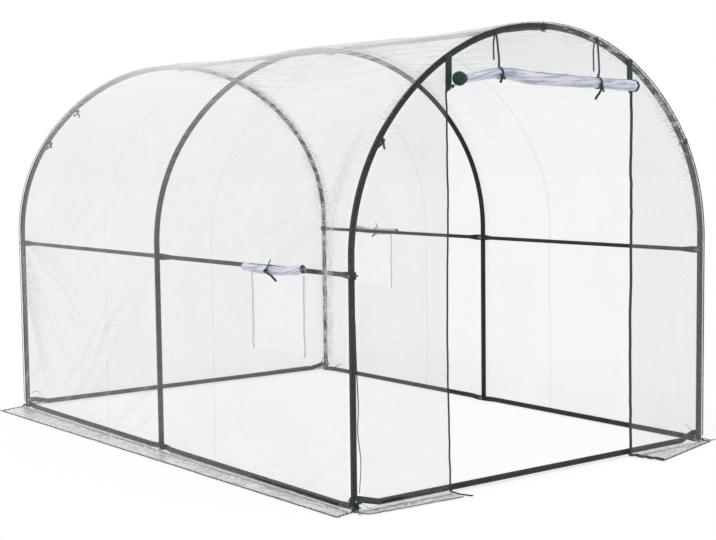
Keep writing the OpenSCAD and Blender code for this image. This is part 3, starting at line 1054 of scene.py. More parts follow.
@dataclass
class EndPanel:
    """A piece of an end wall, with the skirt at its foot if it reaches the ground.

    x0 and x1 are its edges, nodes what it stands for, and hem its skirt's two outer corners: each one's X and
    its distance in front of the arch. loose is how far each edge flutters.
    """

    name: str
    end: End
    x0: float
    x1: float
    nodes: tuple
    rests_on: tuple
    hem: tuple | None = None
    bottom: float = 0.0
    salt: float = 0.0
    loose: tuple = (0.0, 0.0)
    upright_folds: Folds = Folds(0.0042, 0.12, 0.8, 13)
    slant_folds: Folds = Folds(0.0026, 0.10, 0.4, 17)
    skirt_folds: Folds = Folds(0.0065, 0.055, 0.14, 37)
    skirt_slants: Folds = Folds(0.0039, 0.04, 0.3, 43)
    grid: Array = field(init=False)

    def wrinkles(self, x: Array, z: Array) -> Array:
        """Soft waves, upright folds, and flutter at edges that hang free."""
        soft = 0.0050 * soft_noise(x / 0.33 + self.salt, z / 0.5, 5 + self.salt)
        upright = self.upright_folds.at(x + 0.12 * z, z, self.salt)
        slant = self.slant_folds.at(0.7 * (x + z), 0.7 * (x - z), self.salt)
        flutter = 0.0
        for edge, amount in zip((self.x0, self.x1), self.loose):
            near = np.exp(-np.abs(x - edge) / 0.07)
            flutter = flutter + amount * near * soft_noise(z / 0.21 + self.salt, z * 0 + self.salt, 19)
        return soft + upright + slant + flutter

    def skin(self, x: Array, z: Array) -> Array:
        """How far the panel stands out from the arch's middle plane: it hangs in a little off the arch."""
        inside = TUNNEL.inside(x, z, TUNNEL.offset)
        free = ease(inside, 0.03, 0.16)
        hollow, deepest, highest = 0.003, 0.010, 0.009
        out = TUNNEL.offset + (self.wrinkles(x, z) - hollow) * free
        return np.clip(out, TUNNEL.offset - deepest, TUNNEL.offset + highest)

    def columns(self) -> Array:
        """Columns evenly spaced along the arch above them, so that the steep shoulders are smooth."""
        s = np.linspace(0, TUNNEL.length, 1600)
        x, _, nx, _ = TUNNEL.arch(s)
        x = x + TUNNEL.offset * nx
        count = max(8, round((self.x1 - self.x0) / STEP))
        even = np.linspace(self.x0, self.x1, count)
        within = x[(x > self.x0) & (x < self.x1)][::4]
        near_edge = within[np.abs(within) > TUNNEL.half_span * 0.93]
        columns = np.unique(np.concatenate([even, near_edge]))
        least = 0.0006
        return columns[np.append(True, np.diff(columns) > least)]

    def build(self) -> Surface:
        """Rows from the hem to the arch, columns from left to right."""
        x = self.columns()
        top = TUNNEL.top(x, TUNNEL.offset)
        start = self.bottom if self.hem is None else FILLET
        t = np.linspace(0, 1, max(6, round((TUNNEL.crown_h - start) / STEP)))[:, None]
        z = start + (top - start) * t
        xx = np.broadcast_to(x, z.shape)
        left_sway = np.exp(-(xx - self.x0) / 0.05) * soft_noise(z / 0.26, z * 0 + self.salt, 23)
        right_sway = np.exp(-(self.x1 - xx) / 0.05) * soft_noise(z / 0.26, z * 0, 29)
        sway = self.loose[0] * 0.5 * left_sway + self.loose[1] * 0.5 * right_sway
        out = self.skin(xx, z)
        way = self.end.value
        points = np.stack([xx + sway, way * (TUNNEL.bay + out), z], axis=-1)
        heights, run = out - TUNNEL.offset, start + t[:, 0] * (TUNNEL.crown_h - start)
        ground = np.zeros(len(t))
        if self.hem is not None:
            (hem_x0, hem_y0), (hem_x1, hem_y1) = self.hem
            share = (x - x[0]) / (x[-1] - x[0])
            hem_x, hem_y = hem_x0 + (hem_x1 - hem_x0) * share, hem_y0 + (hem_y1 - hem_y0) * share
            foot = TUNNEL.bay + out[0]
            fold_y, fold_z, fold_run = floor_fold(foot)
            fold = np.stack(np.broadcast_arrays(x, way * fold_y, fold_z), axis=-1)
            reach = max(hem_y0, hem_y1)
            u = np.linspace(0, 1, max(5, round(reach / STEP)))[:-1, None]
            skirt_x = hem_x + (x - hem_x) * u
            skirt_y = TUNNEL.bay + hem_y + (foot + FILLET - TUNNEL.bay - hem_y) * u
            pucker = self.skirt_folds.at(skirt_x + 0.35 * skirt_y, skirt_y, self.salt)
            pucker = pucker + self.skirt_slants.at(skirt_y - 0.3 * skirt_x, skirt_x)
            lift = skirt_lift(pucker, u, 0.2)
            skirt = np.stack(np.broadcast_arrays(skirt_x, way * skirt_y, FLOOR_GAP + lift), axis=-1)
            points = np.concatenate([skirt, fold, points])
            heights = np.concatenate([lift, np.zeros(fold.shape[:2]), heights])
            before = np.append(np.linspace(-reach, -FILLET, len(u)), fold_run)
            run = np.concatenate([before, run])
            ground = np.append(np.ones(len(before)), ground)
        self.grid = points
        marks = self.marks(x, heights, run, ground[:, None] * np.ones(len(x)))
        uv = np.stack(np.broadcast_arrays(x[None, :], run[:, None]), axis=-1)
        return Surface.from_grid(points, uv, marks, flip=self.end is End.FRONT)

    def marks(self, columns: Array, heights: Array, run: Array, flat: Array) -> dict[str, Array]:
        """Gathered along the right of the arch, calm along its left, and half gathered on the floor; gathered
        film gets painted highlights in its colour.

        Args:
            columns: the columns' places.
            heights: how far the film stands out.
            run: the rows' distances.
            flat: 1 where it lies on the floor.

        Returns:
            The named marks.
        """
        x, z = self.grid[..., 0], self.grid[..., 2]
        inside = TUNNEL.inside(x, z, TUNNEL.offset)
        patch = 0.5 + 0.5 * soft_noise(x / 0.09, z / 0.13, 47 + self.salt)
        amount = 0.25 + 0.75 * (x > 0.1) * ease(z, 0.90, 1.10)
        gather = np.exp(-((inside / 0.05) ** 2)) * patch * amount * (1 - flat) + 0.4 * flat * patch
        calm = np.exp(-((inside / 0.034) ** 4)) * (x < 0) * (1 - flat)
        return film_marks(heights, run, columns, gather=gather, calm=calm, ground=flat, crumple=0 * calm)

    def make(self) -> None:
        surface = self.build()
        made = surface.piece(self.name, FILM, Slot.FILM)
        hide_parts(*self.nodes)
        wall = float(np.mean(TUNNEL.top(np.linspace(self.x0, self.x1, 400), TUNNEL.offset))) - self.bottom
        log.info("%s: %d points", made.name, len(surface.points))


# ---------------------------------------------------------------- tapes, ties and rolls


def tape(
    points: Sequence, width: float, across: Sequence, thick: float = 0.0012, ends: float = 1.0
) -> Surface:
    """A flat tape along a smooth line.

    Args:
        points: the points that the line passes through.
        width: the tape's width.
        across: the direction of its width.
        thick: its thickness.
        ends: its size at the last point as a share of its size at the first.

    Returns:
        The surface.
    """
    rough = np.asarray(points, float)
    length = np.linalg.norm(np.diff(rough, axis=0), axis=1).sum()
    line = smooth_line(rough, max(8, round(length / 0.006)))
    size = np.linspace(1, ends, len(line))
    return swept(line, np.asarray(across, float), tape_profile(width, thick), size=size)


def laid(line: Array, width: float) -> Surface:
    """A tape that lies flat on the ground along a line, lifted by half its thickness and a little more."""
    lift, thick = 0.0012, 0.0013
    along = np.gradient(line, axis=0)
    return swept(line + lift * UP, np.cross(along, UP), tape_profile(width, thick))


def wound(centre: Sequence, radii: Sequence, turns: int, width: float, salt: float) -> Surface:
    """A tape wound into a ball over a core.

    Its line runs round great circles whose axis turns slowly, on an ellipsoid that grows a little.

    Args:
        centre: the ball's centre.
        radii: its half sizes along X, Y and Z.
        turns: how many times it goes round.
        width: the tape's width.
        salt: picks one winding out of many.

    Returns:
        The tape and its core.
    """
    t = np.linspace(0, 1, turns * 20)
    lean, head = 0.9 + 0.75 * np.sin(FULL_TURN * (1.3 * t + salt)), 2.2 * t * turns / 3 + salt
    axis = np.stack([np.sin(lean) * np.cos(head), np.sin(lean) * np.sin(head), np.cos(lean)], axis=1)
    first = unit(np.cross(axis, [0.2, 0.3, 0.93]))
    second = np.cross(axis, first)
    spin = FULL_TURN * turns * t[:, None]
    line = np.asarray(radii) * (0.86 + 0.1 * t[:, None]) * (np.cos(spin) * first + np.sin(spin) * second)
    half = np.linspace(-1, 1, 9)
    outline = np.stack([half, np.sqrt(1 - half**2) + 0.001], axis=1) * 0.82
    core = revolved(outline, (0, 0, 0), (1, 0, 0), 16)
    core.points = np.asarray(centre) + core.points * radii
    return Surface.joined([swept(np.asarray(centre) + line, axis, tape_profile(width, 0.0018)), core])


def hanging_tie(top: Sequence, reach: float, sway: float, width: float) -> Surface:
    """A short tape end that hangs from a knot and curls away along X."""
    start = np.asarray(top, float)
    curl = [
        (0, 0, 0), (sway * 0.2, -0.002, -reach * 0.4), (sway * 0.7, 0.002, -reach * 0.8), (sway, 0, -reach),
    ]
    return tape(start + np.array(curl), width, (0.85, -0.45, 0.1))


def tube_tie(centre: Array, tangent: Array, outward: Array, salt: float, gap: float) -> list[Surface]:
    """A cover tie: a loop round the far side of an arch's tube, its knot and two hanging ends.

    Args:
        centre: the tube's centre there.
        tangent: the tube's direction.
        outward: the direction away from the knot.
        salt: picks one winding out of many.
        gap: the loop's distance from the tube.

    Returns:
        The parts.
    """
    turn = np.linspace(-0.72 * HALF_TURN, 0.72 * HALF_TURN, 24)[:, None]
    side = np.cross(tangent, outward)
    ring = (TUNNEL.tube_r + gap) * (np.sin(turn) * side - np.cos(turn) * outward)
    knot = centre - (TUNNEL.tube_r + gap + 0.0048) * outward
    lean = 0.012 * math.sin(9 * salt)
    return [
        swept(centre + ring, tangent, tape_profile(0.008, 0.0014)),
        wound(knot, (0.009, 0.009, 0.008), 4, 0.006, salt),
        hanging_tie(knot, 0.034 + lean, 0.012 + lean, 0.009),
        hanging_tie(knot, 0.028 - lean, -0.026 + lean, 0.009),
    ]


@dataclass(frozen=True)
class Bolt:
    """A bolt through a tube: a domed head outside, and a washer, a wing nut and the screw's tip inside.

    inward is its direction from the head to the nut, and stack the thickness of the flats under the nut.
    """

    centre: tuple
    inward: tuple
    stack: float
    shank_r: float = 0.003
    pitch: float = 0.001
    head_r: float = 0.0062
    head_h: float = 0.0034
    washer_r: float = 0.0082
    nut_r: float = 0.0062

    def build(self) -> list[Surface]:
        """Head, washer, nut and threaded tip turned about the bolt's axis, and the nut's two wings."""
        axis = unit(np.asarray(self.inward, float))
        tube, seat = TUNNEL.tube_r, TUNNEL.tube_r + self.stack
        bend = np.linspace(0, QUARTER_TURN, 5)
        dome = np.stack([-tube - self.head_h * np.cos(bend), 0.0002 + self.head_r * np.sin(bend)], axis=1)
        head = np.vstack([dome, [[-tube + 0.0006, self.head_r]]])
        washer = np.array([[0, -0.0004], [0.0003, 0], [0.0012, 0], [0.0015, -0.0004]]) + [seat, self.washer_r]
        nut = np.array([[0.0015, -0.0006], [0.0018, 0], [0.0058, 0], [0.0062, -0.0008]]) + [seat, self.nut_r]
        ridge = np.arange(8)
        thread = np.stack(
            [seat + 0.0060 + ridge * self.pitch / 2, self.shank_r - 0.0004 * (ridge % 2)], axis=1
        )
        turned = ((head, 20), (washer, 20), (nut, 12), (thread, 12))
        parts = [revolved(outline, self.centre, axis, sides) for outline, sides in turned]
        side = unit(np.cross(axis, UP)) if abs(axis[2]) < 0.5 else np.array([1.0, 0.0, 0.0])
        middle = np.asarray(self.centre) + (seat + 0.0030) * axis
        steps = ((0.003, 0), (0.007, 0.001), (0.010, 0.003), (0.012, 0.006))
        for way in (-1, 1):
            wing = smooth_line([middle + way * out * side + rise * axis for out, rise in steps], 9)
            parts.append(swept(wing, np.cross(axis, side), tape_profile(0.0065, 0.0022)))
        return parts


@dataclass(frozen=True)
class Roll:
    """Film rolled up: a spiral sheet whose line, thickness and wrinkles change along it.

    line is its centre line, radii its radius at even steps along that, and core the innermost turn's share of
    the radius. outer_turn is the angle where the outermost turn ends, and lumps how uneven it is.
    """

    name: str
    line: tuple
    radii: tuple
    turns: int
    outer_turn: float = 0.0
    lumps: float = 0.17
    salt: float = 0.0
    sides: int = 18
    core: float = 0.22

    def frame(self) -> tuple[Array, Array, Array, Array]:
        """The centre line, its two cross directions and the radius, at each column."""
        rough = np.asarray(self.line, float)
        length = np.linalg.norm(np.diff(rough, axis=0), axis=1).sum()
        line = smooth_line(rough, round(length / 0.010))
        radius = np.interp(np.linspace(0, 1, len(line)), np.linspace(0, 1, len(self.radii)), self.radii)
        along = unit(np.gradient(line, axis=0))
        across = unit(np.cross(UP, along))
        return line, across, np.cross(along, across), radius

    def shape(self, turn: Array, x: Array) -> Array:
        """Share of the plain radius at an angle and a distance: lumps, and ridges that wind along it."""
        lump = soft_noise(1.4 * np.cos(turn) + 9 * x, 1.4 * np.sin(turn) + 20 + 5 * x, 83 + self.salt)
        bend = 1.1 * soft_noise(x / 0.07, x * 0, 87 + self.salt) + 3.5 * x
        ridge = (1 - np.abs(np.sin(3.5 * turn + bend))) ** 1.5
        ridge = ridge + 0.7 * (1 - np.abs(np.sin(2.5 * turn - 1.7 * bend))) ** 2
        come = 0.4 + 0.6 * ease(soft_noise(x / 0.05, turn * 0 + 3, 91 + self.salt), -0.5, 0.5)
        return 1 + self.lumps * (0.5 * lump + 0.55 * ridge * come - 0.3)

    def build(self) -> tuple[Surface, float]:
        """Rows round the spiral from the outside in, columns along the roll.

        Returns:
            The surface, and the length of film that it holds.
        """
        line, across, up, radius = self.frame()
        wind = np.linspace(0, FULL_TURN * self.turns, self.turns * self.sides + 1)
        share = 1 - (1 - self.core) * wind / wind[-1]
        turn = (self.outer_turn - wind)[:, None] * np.ones(len(line))
        x = np.append(0, np.cumsum(np.linalg.norm(np.diff(line, axis=0), axis=1)))[None, :]
        reach = radius * share[:, None] * self.shape(turn, x * np.ones_like(turn))
        slack = 0.006 * soft_noise(x / 0.06, wind[:, None] * 0 + self.salt, 93) * (x / x.max() - 0.5)
        points = line + reach[..., None] * (np.cos(turn)[..., None] * across + np.sin(turn)[..., None] * up)
        points = points + slack[..., None] * unit(line[-1] - line[0])
        around = np.append(0, np.cumsum(np.linalg.norm(np.diff(points[:, len(line) // 2], axis=0), axis=1)))
        uv = np.stack(np.broadcast_arrays(around[:, None], x), axis=-1)
        return Surface.from_grid(points, uv, flip=True), float(around[-1])

    def make(self, nodes: tuple, rests_on: tuple) -> None:
        surface, length = self.build()
        made = surface.piece(self.name, ROLL, Slot.ROLLED_FILM)
        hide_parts(*nodes)
        line = self.frame()[0]
        wide = float(np.linalg.norm(np.diff(line, axis=0), axis=1).sum())
        log.info("%s: %d points, %.2f m of film", made.name, len(surface.points), length)

    def swirl(self, turns: int, width: float) -> Surface:
        """The binding seen at the roll's last end: a tape wound up with the film."""
        grow = 0.0018
        line, across, up, radius = self.frame()
        wind = np.linspace(0, FULL_TURN * turns, turns * 24)
        share = 1 - 0.72 * wind / wind[-1]
        turn = self.outer_turn - wind
        x = np.full_like(turn, np.linalg.norm(np.diff(line, axis=0), axis=1).sum())
        reach = radius[-1] * share * np.maximum(self.shape(turn, x), 0.97) + grow
        way, turn = unit(line[-1] - line[-2]), turn[:, None]
        ring = reach[:, None] * (np.cos(turn) * across[-1] + np.sin(turn) * up[-1])
        return swept(line[-1] - 0.3 * width * way + ring, way, tape_profile(width, 0.0016))

    def loop(self, at: float, width: float, start: float, stop: float) -> tuple[Surface, Array]:
        """A tape round the roll.

        Args:
            at: how far along the roll, 0 to 1.
            width: the tape's width.
            start: angle from the cross direction where it begins.
            stop: angle where it ends.

        Returns:
            The tape, and the roll's centre there.
        """
        line, across, up, radius = self.frame()
        i = round(at * (len(line) - 1))
        turn = np.linspace(start, stop, 40)
        x = np.full_like(turn, np.linalg.norm(np.diff(line[: i + 1], axis=0), axis=1).sum())
        reach = radius[i] * np.maximum(self.shape(turn, x), 0.98) + 0.0016
        ring = line[i] + reach[:, None] * (np.cos(turn)[:, None] * across[i] + np.sin(turn)[:, None] * up[i])
        way = line[min(i + 1, len(line) - 1)] - line[i - 1]
        return swept(ring, way, tape_profile(width, 0.0013)), line[i]


def placed_bolts() -> list[Bolt]:
    """A bolt wherever rails meet an arch: legs at the side rails and the ground, and the crowns."""
    flat = 0.0024
    side_z = sum(v.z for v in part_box("front_left_side_rail")) / 2
    half_flat = 0.013
    ground_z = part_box("front_left_ground_rail")[0].z + half_flat
    end_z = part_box("front_ground_rail")[1].z - half_flat
    bolts = []
    for place in (-1, 0, 1):
        y, stack = place * TUNNEL.bay, flat * (2 if place == 0 else 1)
        for side in Side:
            x, inward = side.value * TUNNEL.half_span, (-side.value, 0, 0)
            bolts += [Bolt((x, y, side_z), inward, stack), Bolt((x, y, ground_z), inward, stack)]
            if place:
                bolts.append(Bolt((x, y, end_z), (0, -place, 0), flat))
        bolts.append(Bolt((0, y, TUNNEL.crown_h), (0, 0, -1), stack))
    return bolts


@dataclass
class Trim:
    """The bindings, hems, piping, straps, ties and bolts."""

    hem_w: float = 0.011
    skirt_z: float = 0.016

    def piece(
        self, name: str, parts: Sequence[Surface], nodes: Sequence[str] = (), finish: Finish = TAPE
    ) -> None:
        """Joins the parts into one piece of trim that stands for the given nodes."""
        made = Surface.joined(parts).piece(name, finish, Slot.TRIM if finish is TAPE else None)
        if nodes:
            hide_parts(*nodes)
        log.info("%s: %d parts", name, len(parts))

    def hems(self, cover: dict[str, list[Array]], panels: dict[str, EndPanel]) -> None:
        """Tape along the free edges of all skirts."""
        lines = []
        for key in ("left_hem", "right_hem"):
            line = np.concatenate(cover[key])
            line = line[np.argsort(line[:, 1])]
            lines.append(line[np.append(True, np.diff(line[:, 1]) > 0.004)])
        for line in (cover["first"][0], cover["last"][-1]):
            half = len(line) // 2
            for part in (line[:half], line[half:][::-1]):
                lines.append(part[part[:, 2] < self.skirt_z])
        for name, panel in panels.items():
            lines.append(panel.grid[0])
            if name != "front_left_panel":
                lines.append(self.on_ground(panel.grid[:, -1]))
            if name != "front_right_panel":
                lines.append(self.on_ground(panel.grid[:, 0]))
        tapes = [laid(line, self.hem_w) for line in lines if len(line) > 3]
        self.piece("skirt_hem_tapes", tapes, ["skirt_hems"])

    def on_ground(self, line: Array) -> Array:
        """The first stretch of a panel's edge, which lies on the ground."""
        return line[: int(np.argmax(line[:, 2] > self.skirt_z))]

    def door(self, left: EndPanel, right: EndPanel) -> None:
        """The door's two edge bindings: thin on the left, wide on the right, both wider at the top.

        Each follows its panel's edge from the hem up, and is moved sideways by one amount low down and by
        another at the top.
        """
        parts = []
        for column, low_w, top_w, low_x, top_x, past in (
            (left.grid[:, -1], 0.0095, 0.034, -0.005, 0.008, ((0.022, -0.030, 0.001), (0.020, -0.020, 0.0))),
            (right.grid[:, 0], 0.019, 0.038, 0.005, -0.005, ((0.0, -0.004, 0.0),)),
        ):
            line = np.vstack([column[0] + np.array(past), column[3:]])
            line = smooth_line(line, len(line) * 2)
            z = line[:, 2]
            flat = 1 - ease(z, 0.0, 0.03)
            wide = ease(z, z.max() - 0.15, z.max() - 0.12)
            lift = 0.0014 * (1 - flat)[:, None] * np.array([0, -1, 0]) + 0.0062 * flat[:, None] * UP
            waver = 0.0015 * soft_noise(z / 0.05, z * 0, 97) + (low_x + (top_x - low_x) * wide) * (1 - flat)
            across = np.stack([np.ones_like(z), np.full_like(z, 0.05), 0.05 + 0.4 * flat], axis=1)
            size = (low_w + (top_w - low_w) * wide) / low_w
            line = line + lift + waver[:, None] * np.array([1, 0, 0])
            parts.append(swept(line, across, tape_profile(low_w, 0.0014), size=size))
        self.piece("door_edge_tapes", parts, ["door_bindings"])

    def piping(self) -> None:
        """A narrow tape over the cover's edge along both end arches."""
        s = np.linspace(0.03, TUNNEL.length - 0.03, 420)
        x, z, nx, nz = TUNNEL.arch(s)
        out = TUNNEL.offset + 0.0018
        for end in End:
            y = np.full_like(x, end.value * (TUNNEL.bay + TUNNEL.offset - 0.002))
            line = np.stack([x + out * nx, y, z + out * nz], axis=1)
            name = end.name.lower()
            tapes = [swept(line, (0, 1, 0), tape_profile(0.0055, 0.0012))]
            self.piece(f"{name}_arch_tape", tapes, [f"{name}_piping"])

    def door_straps(self, roll: Roll) -> None:
        """Two straps that hold the rolled door, each with a knot and a tail, and their partners inside."""
        parts = []
        wall_y = -(TUNNEL.bay + TUNNEL.offset + 0.0016)
        radius = 0.026
        inner = -TUNNEL.bay + TUNNEL.tube_r + 0.003
        for at, slant, bow, knot_x, tail, sway, inner_x, inner_l in (
            (0.190, 0.006, 0.022, -0.012, 0.028, -0.010, 0.030, 0.100),
            (0.795, 0.026, 0.036, -0.010, 0.060, -0.036, 0.044, 0.125),
        ):
            ring, (x, y, z) = roll.loop(at, 0.011, 0.35 * HALF_TURN, 1.9 * HALF_TURN)
            top = float(TUNNEL.top(np.array([x + slant]), TUNNEL.offset)[0])
            down = [
                (x + slant, wall_y, top - 0.004), (x + (slant + bow) / 2, wall_y - 0.001, top - 0.04),
                (x + bow, wall_y - 0.004, z + radius + 0.03), (x + bow / 3, y + 0.010, z + radius + 0.002),
                (x, y - 0.010, z + radius - 0.001),
            ]
            knot = (x + knot_x, y - radius - 0.004, z - 0.011)
            parts += [
                ring,
                tape(down, 0.011, (1, 0, 0)),
                wound(knot, (0.010, 0.006, 0.008), 5, 0.006, salt=at),
                hanging_tie(knot, tail, sway, 0.010),
                hanging_tie((knot[0] + 0.004, knot[1], knot[2]), tail * 0.45, 0.014, 0.008),
            ]
            start = x + inner_x
            ends = [(start, inner, top - 0.02), (start - 0.002, inner + 0.004, top - 0.06)]
            parts.append(tape([*ends, (start - 0.004, inner, top - 0.02 - inner_l)], 0.011, (1, 0.1, 0)))
        ball = np.asarray(roll.line[0]) + np.array([-0.030, 0.0, -0.001])
        tail = ball + np.array([(-0.02, 0, -0.02), (-0.03, -0.004, -0.03), (-0.047, 0, -0.045)])
        parts += [
            roll.swirl(5, 0.015),
            wound(ball, (0.030, 0.027, 0.029), 16, 0.013, 0.3),
            wound(ball + [-0.036, -0.002, -0.030], (0.007, 0.006, 0.007), 4, 0.005, 0.8),
            tape(tail, 0.006, (0.3, 1, 0)),
        ]
        self.piece("door_strap_tapes", parts, ["door_straps", "door_roll_end"])

    def windows(self, rolls: dict[Side, Roll]) -> None:
        """The tie round each rolled window flap, with a short upper and a thick lower end."""
        parts = []
        for side, roll in rolls.items():
            flip = -side.value
            ring, centre = roll.loop(0.46, 0.010, -0.8 * HALF_TURN, 0.95 * HALF_TURN)
            knot = centre + [side.value * 0.026, 0, -0.002]
            upper = knot + np.array([(0, 0, 0), (0, -0.020 * flip, 0.022), (0, -0.040 * flip, 0.048)])
            lower = knot + np.array(
                [(0, 0, 0), (0.004 * side.value, -0.040 * flip, -0.012), (0, -0.078 * flip, -0.036)]
            )
            parts += [
                ring,
                wound(knot, (0.006, 0.009, 0.008), 5, 0.006, 0.4),
                tape(upper, 0.006, (0, 0.6, -0.8)),
                tape(lower, 0.010, (0, 0.5, 0.9), thick=0.0022),
            ]
        self.piece("window_tie_tapes", parts, ["window_ties"])

    def window_seams(self) -> None:
        """Faint welded strips down both sides of each window."""
        parts = []
        for side in Side:
            cut = Window.on(side)
            x = side.value * (TUNNEL.half_span + TUNNEL.offset + 0.0022)
            for y, way in ((cut.y0, -1), (cut.y1, 1)):
                rise = np.linspace(cut.z1 + 0.004, cut.z0 - 0.004, 9)
                waver = 0.0035 * soft_noise(rise / 0.06, rise * 0 + y, 103) + 0.004
                points = np.stack([np.full(9, x), y + way * waver, rise], axis=1)
                parts.append(tape(points, 0.010, (0, 1, 0), thick=0.0008))
        made = Surface.joined(parts).piece("window_side_seams", SEAM, Slot.FILM)
        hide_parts("window_bindings")

    def ties(self) -> None:
        """Ties on the arches, at the feet of the corner legs and at the skirts' corners.

        Each arch tie is given by its arch, the way its knot faces and its length along the arch. Each strand
        at a corner leg runs through points that are given from that corner.
        """
        parts = []
        for place, way, s in ((-1, 1, 1.430), (-1, -1, TUNNEL.length - 1.400), (1, 1, 1.47), (1, 1, 1.715)):
            x, z, nx, nz = (float(v[0]) for v in TUNNEL.arch(np.array([s])))
            centre, gap = np.array([x, place * TUNNEL.bay, z]), 0.0042 if way < 0 else 0.0012
            outward = way * np.array([nx, 0, nz])
            parts += tube_tie(centre, np.array([-nz, 0, nx]), outward, 0.37 * place + s, gap)
        span, bay, low = TUNNEL.half_span, TUNNEL.bay, 0.0045
        inner, inside = span - 0.018, bay - 0.017
        front_left, front_right, back_left, back_right = (
            np.array(corner)
            for corner in ((-inner, -bay, 0), (inner, -inside, 0), (-inner, inside, 0), (inner, inside, 0))
        )
        for corner, width, across, ends, points in (
            (
                front_left, 0.005, (0.8, -0.6, 0), 0.6,
                (
                    (-0.010, -0.008, 0.72), (-0.006, -0.008, 0.56), (0.001, -0.008, 0.40),
                    (-0.003, -0.008, 0.30), (0.010, -0.008, 0.19), (0.002, -0.008, 0.07),
                ),
            ),
            (front_left, 0.006, (0.5, 1, 0), 1, ((0, 0, 0.04), (0.03, -0.03, 0.012), (0.06, -0.05, low))),
            (front_left, 0.006, (0.5, 1, 0), 1, ((0, 0, 0.04), (-0.03, -0.04, 0.010), (-0.045, -0.075, low))),
            (
                front_right, 0.006, (0.2, 1, 0.2), 1,
                ((0, 0, 0.048), (-0.025, 0.002, 0.064), (-0.056, 0, 0.088)),
            ),
            (
                back_left, 0.007, (0.2, 1, 0.2), 1,
                ((0, 0, 0.078), (0.03, 0, 0.082), (0.052, 0, 0.066), (0.058, 0, 0.042)),
            ),
            (back_right, 0.008, (0.3, 1, 0.2), 1, ((0, 0, 0.10), (-0.02, 0, 0.07), (-0.05, 0, 0.02))),
        ):
            parts.append(tape(corner + np.array(points), width, across, ends=ends))
        parts.append(wound((-inner + 0.004, -bay - 0.004, 0.036), (0.011, 0.010, 0.011), 6, 0.006, 0.2))
        reach = max(abs(v.x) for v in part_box("corner_ties")) - 0.004
        for start, stop in (
            ((-span - 0.163, bay - 0.038), (-reach, bay - 0.050)),
            ((span + 0.050, -bay - 0.034), (reach, -bay - 0.098)),
            ((span + 0.066, bay), (reach, bay + 0.094)),
        ):
            first, last = np.array([*start, low]), np.array([*stop, 0.003])
            middle = (first + last) / 2 + np.array([0.004, 0.007, 0.003])
            parts.append(laid(smooth_line([first, middle, last], 24), 0.008))
        self.piece("tie_tapes", parts, ["corner_ties"])

    def bolts(self) -> None:
        """All bolts as one piece."""
        parts = [part for bolt in placed_bolts() for part in bolt.build()]
        self.piece("bolts", parts, finish=ZINC)


def window_net(side: Side) -> None:
    """The insect net stretched over a window, just inside the film."""
    cut = Window.on(side)
    lap = 0.001
    y = grid_lines((cut.y0 - lap, cut.y1 + lap), 0.012)
    z = grid_lines((cut.z0 - lap, cut.z1 + lap), 0.012)
    zz, yy = np.meshgrid(z, y, indexing="ij")
    out = TUNNEL.offset - 0.0035 + 0.0015 * soft_noise(yy / 0.12, zz / 0.15, 101)
    points = np.stack([side.value * (TUNNEL.half_span + out), yy, zz], axis=-1)
    surface = Surface.from_grid(points, np.stack([yy, zz], axis=-1), flip=side is Side.RIGHT)
    name = side.name.lower()
    made = surface.piece(f"{name}_window_net", NET, None)


def drawn_film(end: End, start: float, stop: float, puff: float, slack: float) -> None:
    """Slack film drawn round the inner face of an end arch's right half, in crumpled patches.

    The patches are where smooth noise, slanting over the tube, passes a level.

    Args:
        end: which end arch.
        start: length along the arch, from its crown, where the patches begin.
        stop: length along the arch, from its crown, where they end.
        puff: how far the crumples stand off the tube.
        slack: the noise's level, from -1 for film everywhere to 1 for none.
    """
    half = TUNNEL.length / 2
    s = grid_lines((half + start, half + stop), 0.005)
    turn = np.linspace(-0.8, 0.3, 15) * HALF_TURN
    x, z, nx, nz = TUNNEL.arch(s)
    centre = np.stack([x, np.full_like(x, end.value * TUNNEL.bay), z], axis=1)[:, None]
    outward = np.stack([nx, 0 * nx, nz], axis=1)[:, None]
    ss, tt = np.meshgrid(s, turn, indexing="ij")
    crumples = Folds(puff, 0.020, 0.05, 111)
    reach = TUNNEL.tube_r + 0.0012 + crumples.at(ss + 0.012 * tt, 0.02 * tt)
    ring = np.sin(tt)[..., None] * np.array([0, 1, 0]) - np.cos(tt)[..., None] * outward
    patch = soft_noise((ss + 0.010 * tt) / 0.034, 0.3 * tt, 113) > slack
    keep = patch[:-1, :-1] & patch[1:, 1:]
    uv = np.stack([reach * tt, ss], axis=-1)
    none = np.zeros_like(ss)
    # the gather and crumple marks give these patches painted highlights in the film's colour
    marks = {"crease": none, "gather": none + 0.8, "ground": none, "calm": none, "crumple": none + 0.6}
    name = end.name.lower()
    surface = Surface.from_grid(centre + reach[..., None] * ring, uv, marks, keep=keep)
    made = surface.piece(f"{name}_arch_gathers", FILM, Slot.FILM)


# ---------------------------------------------------------------- stage and camera


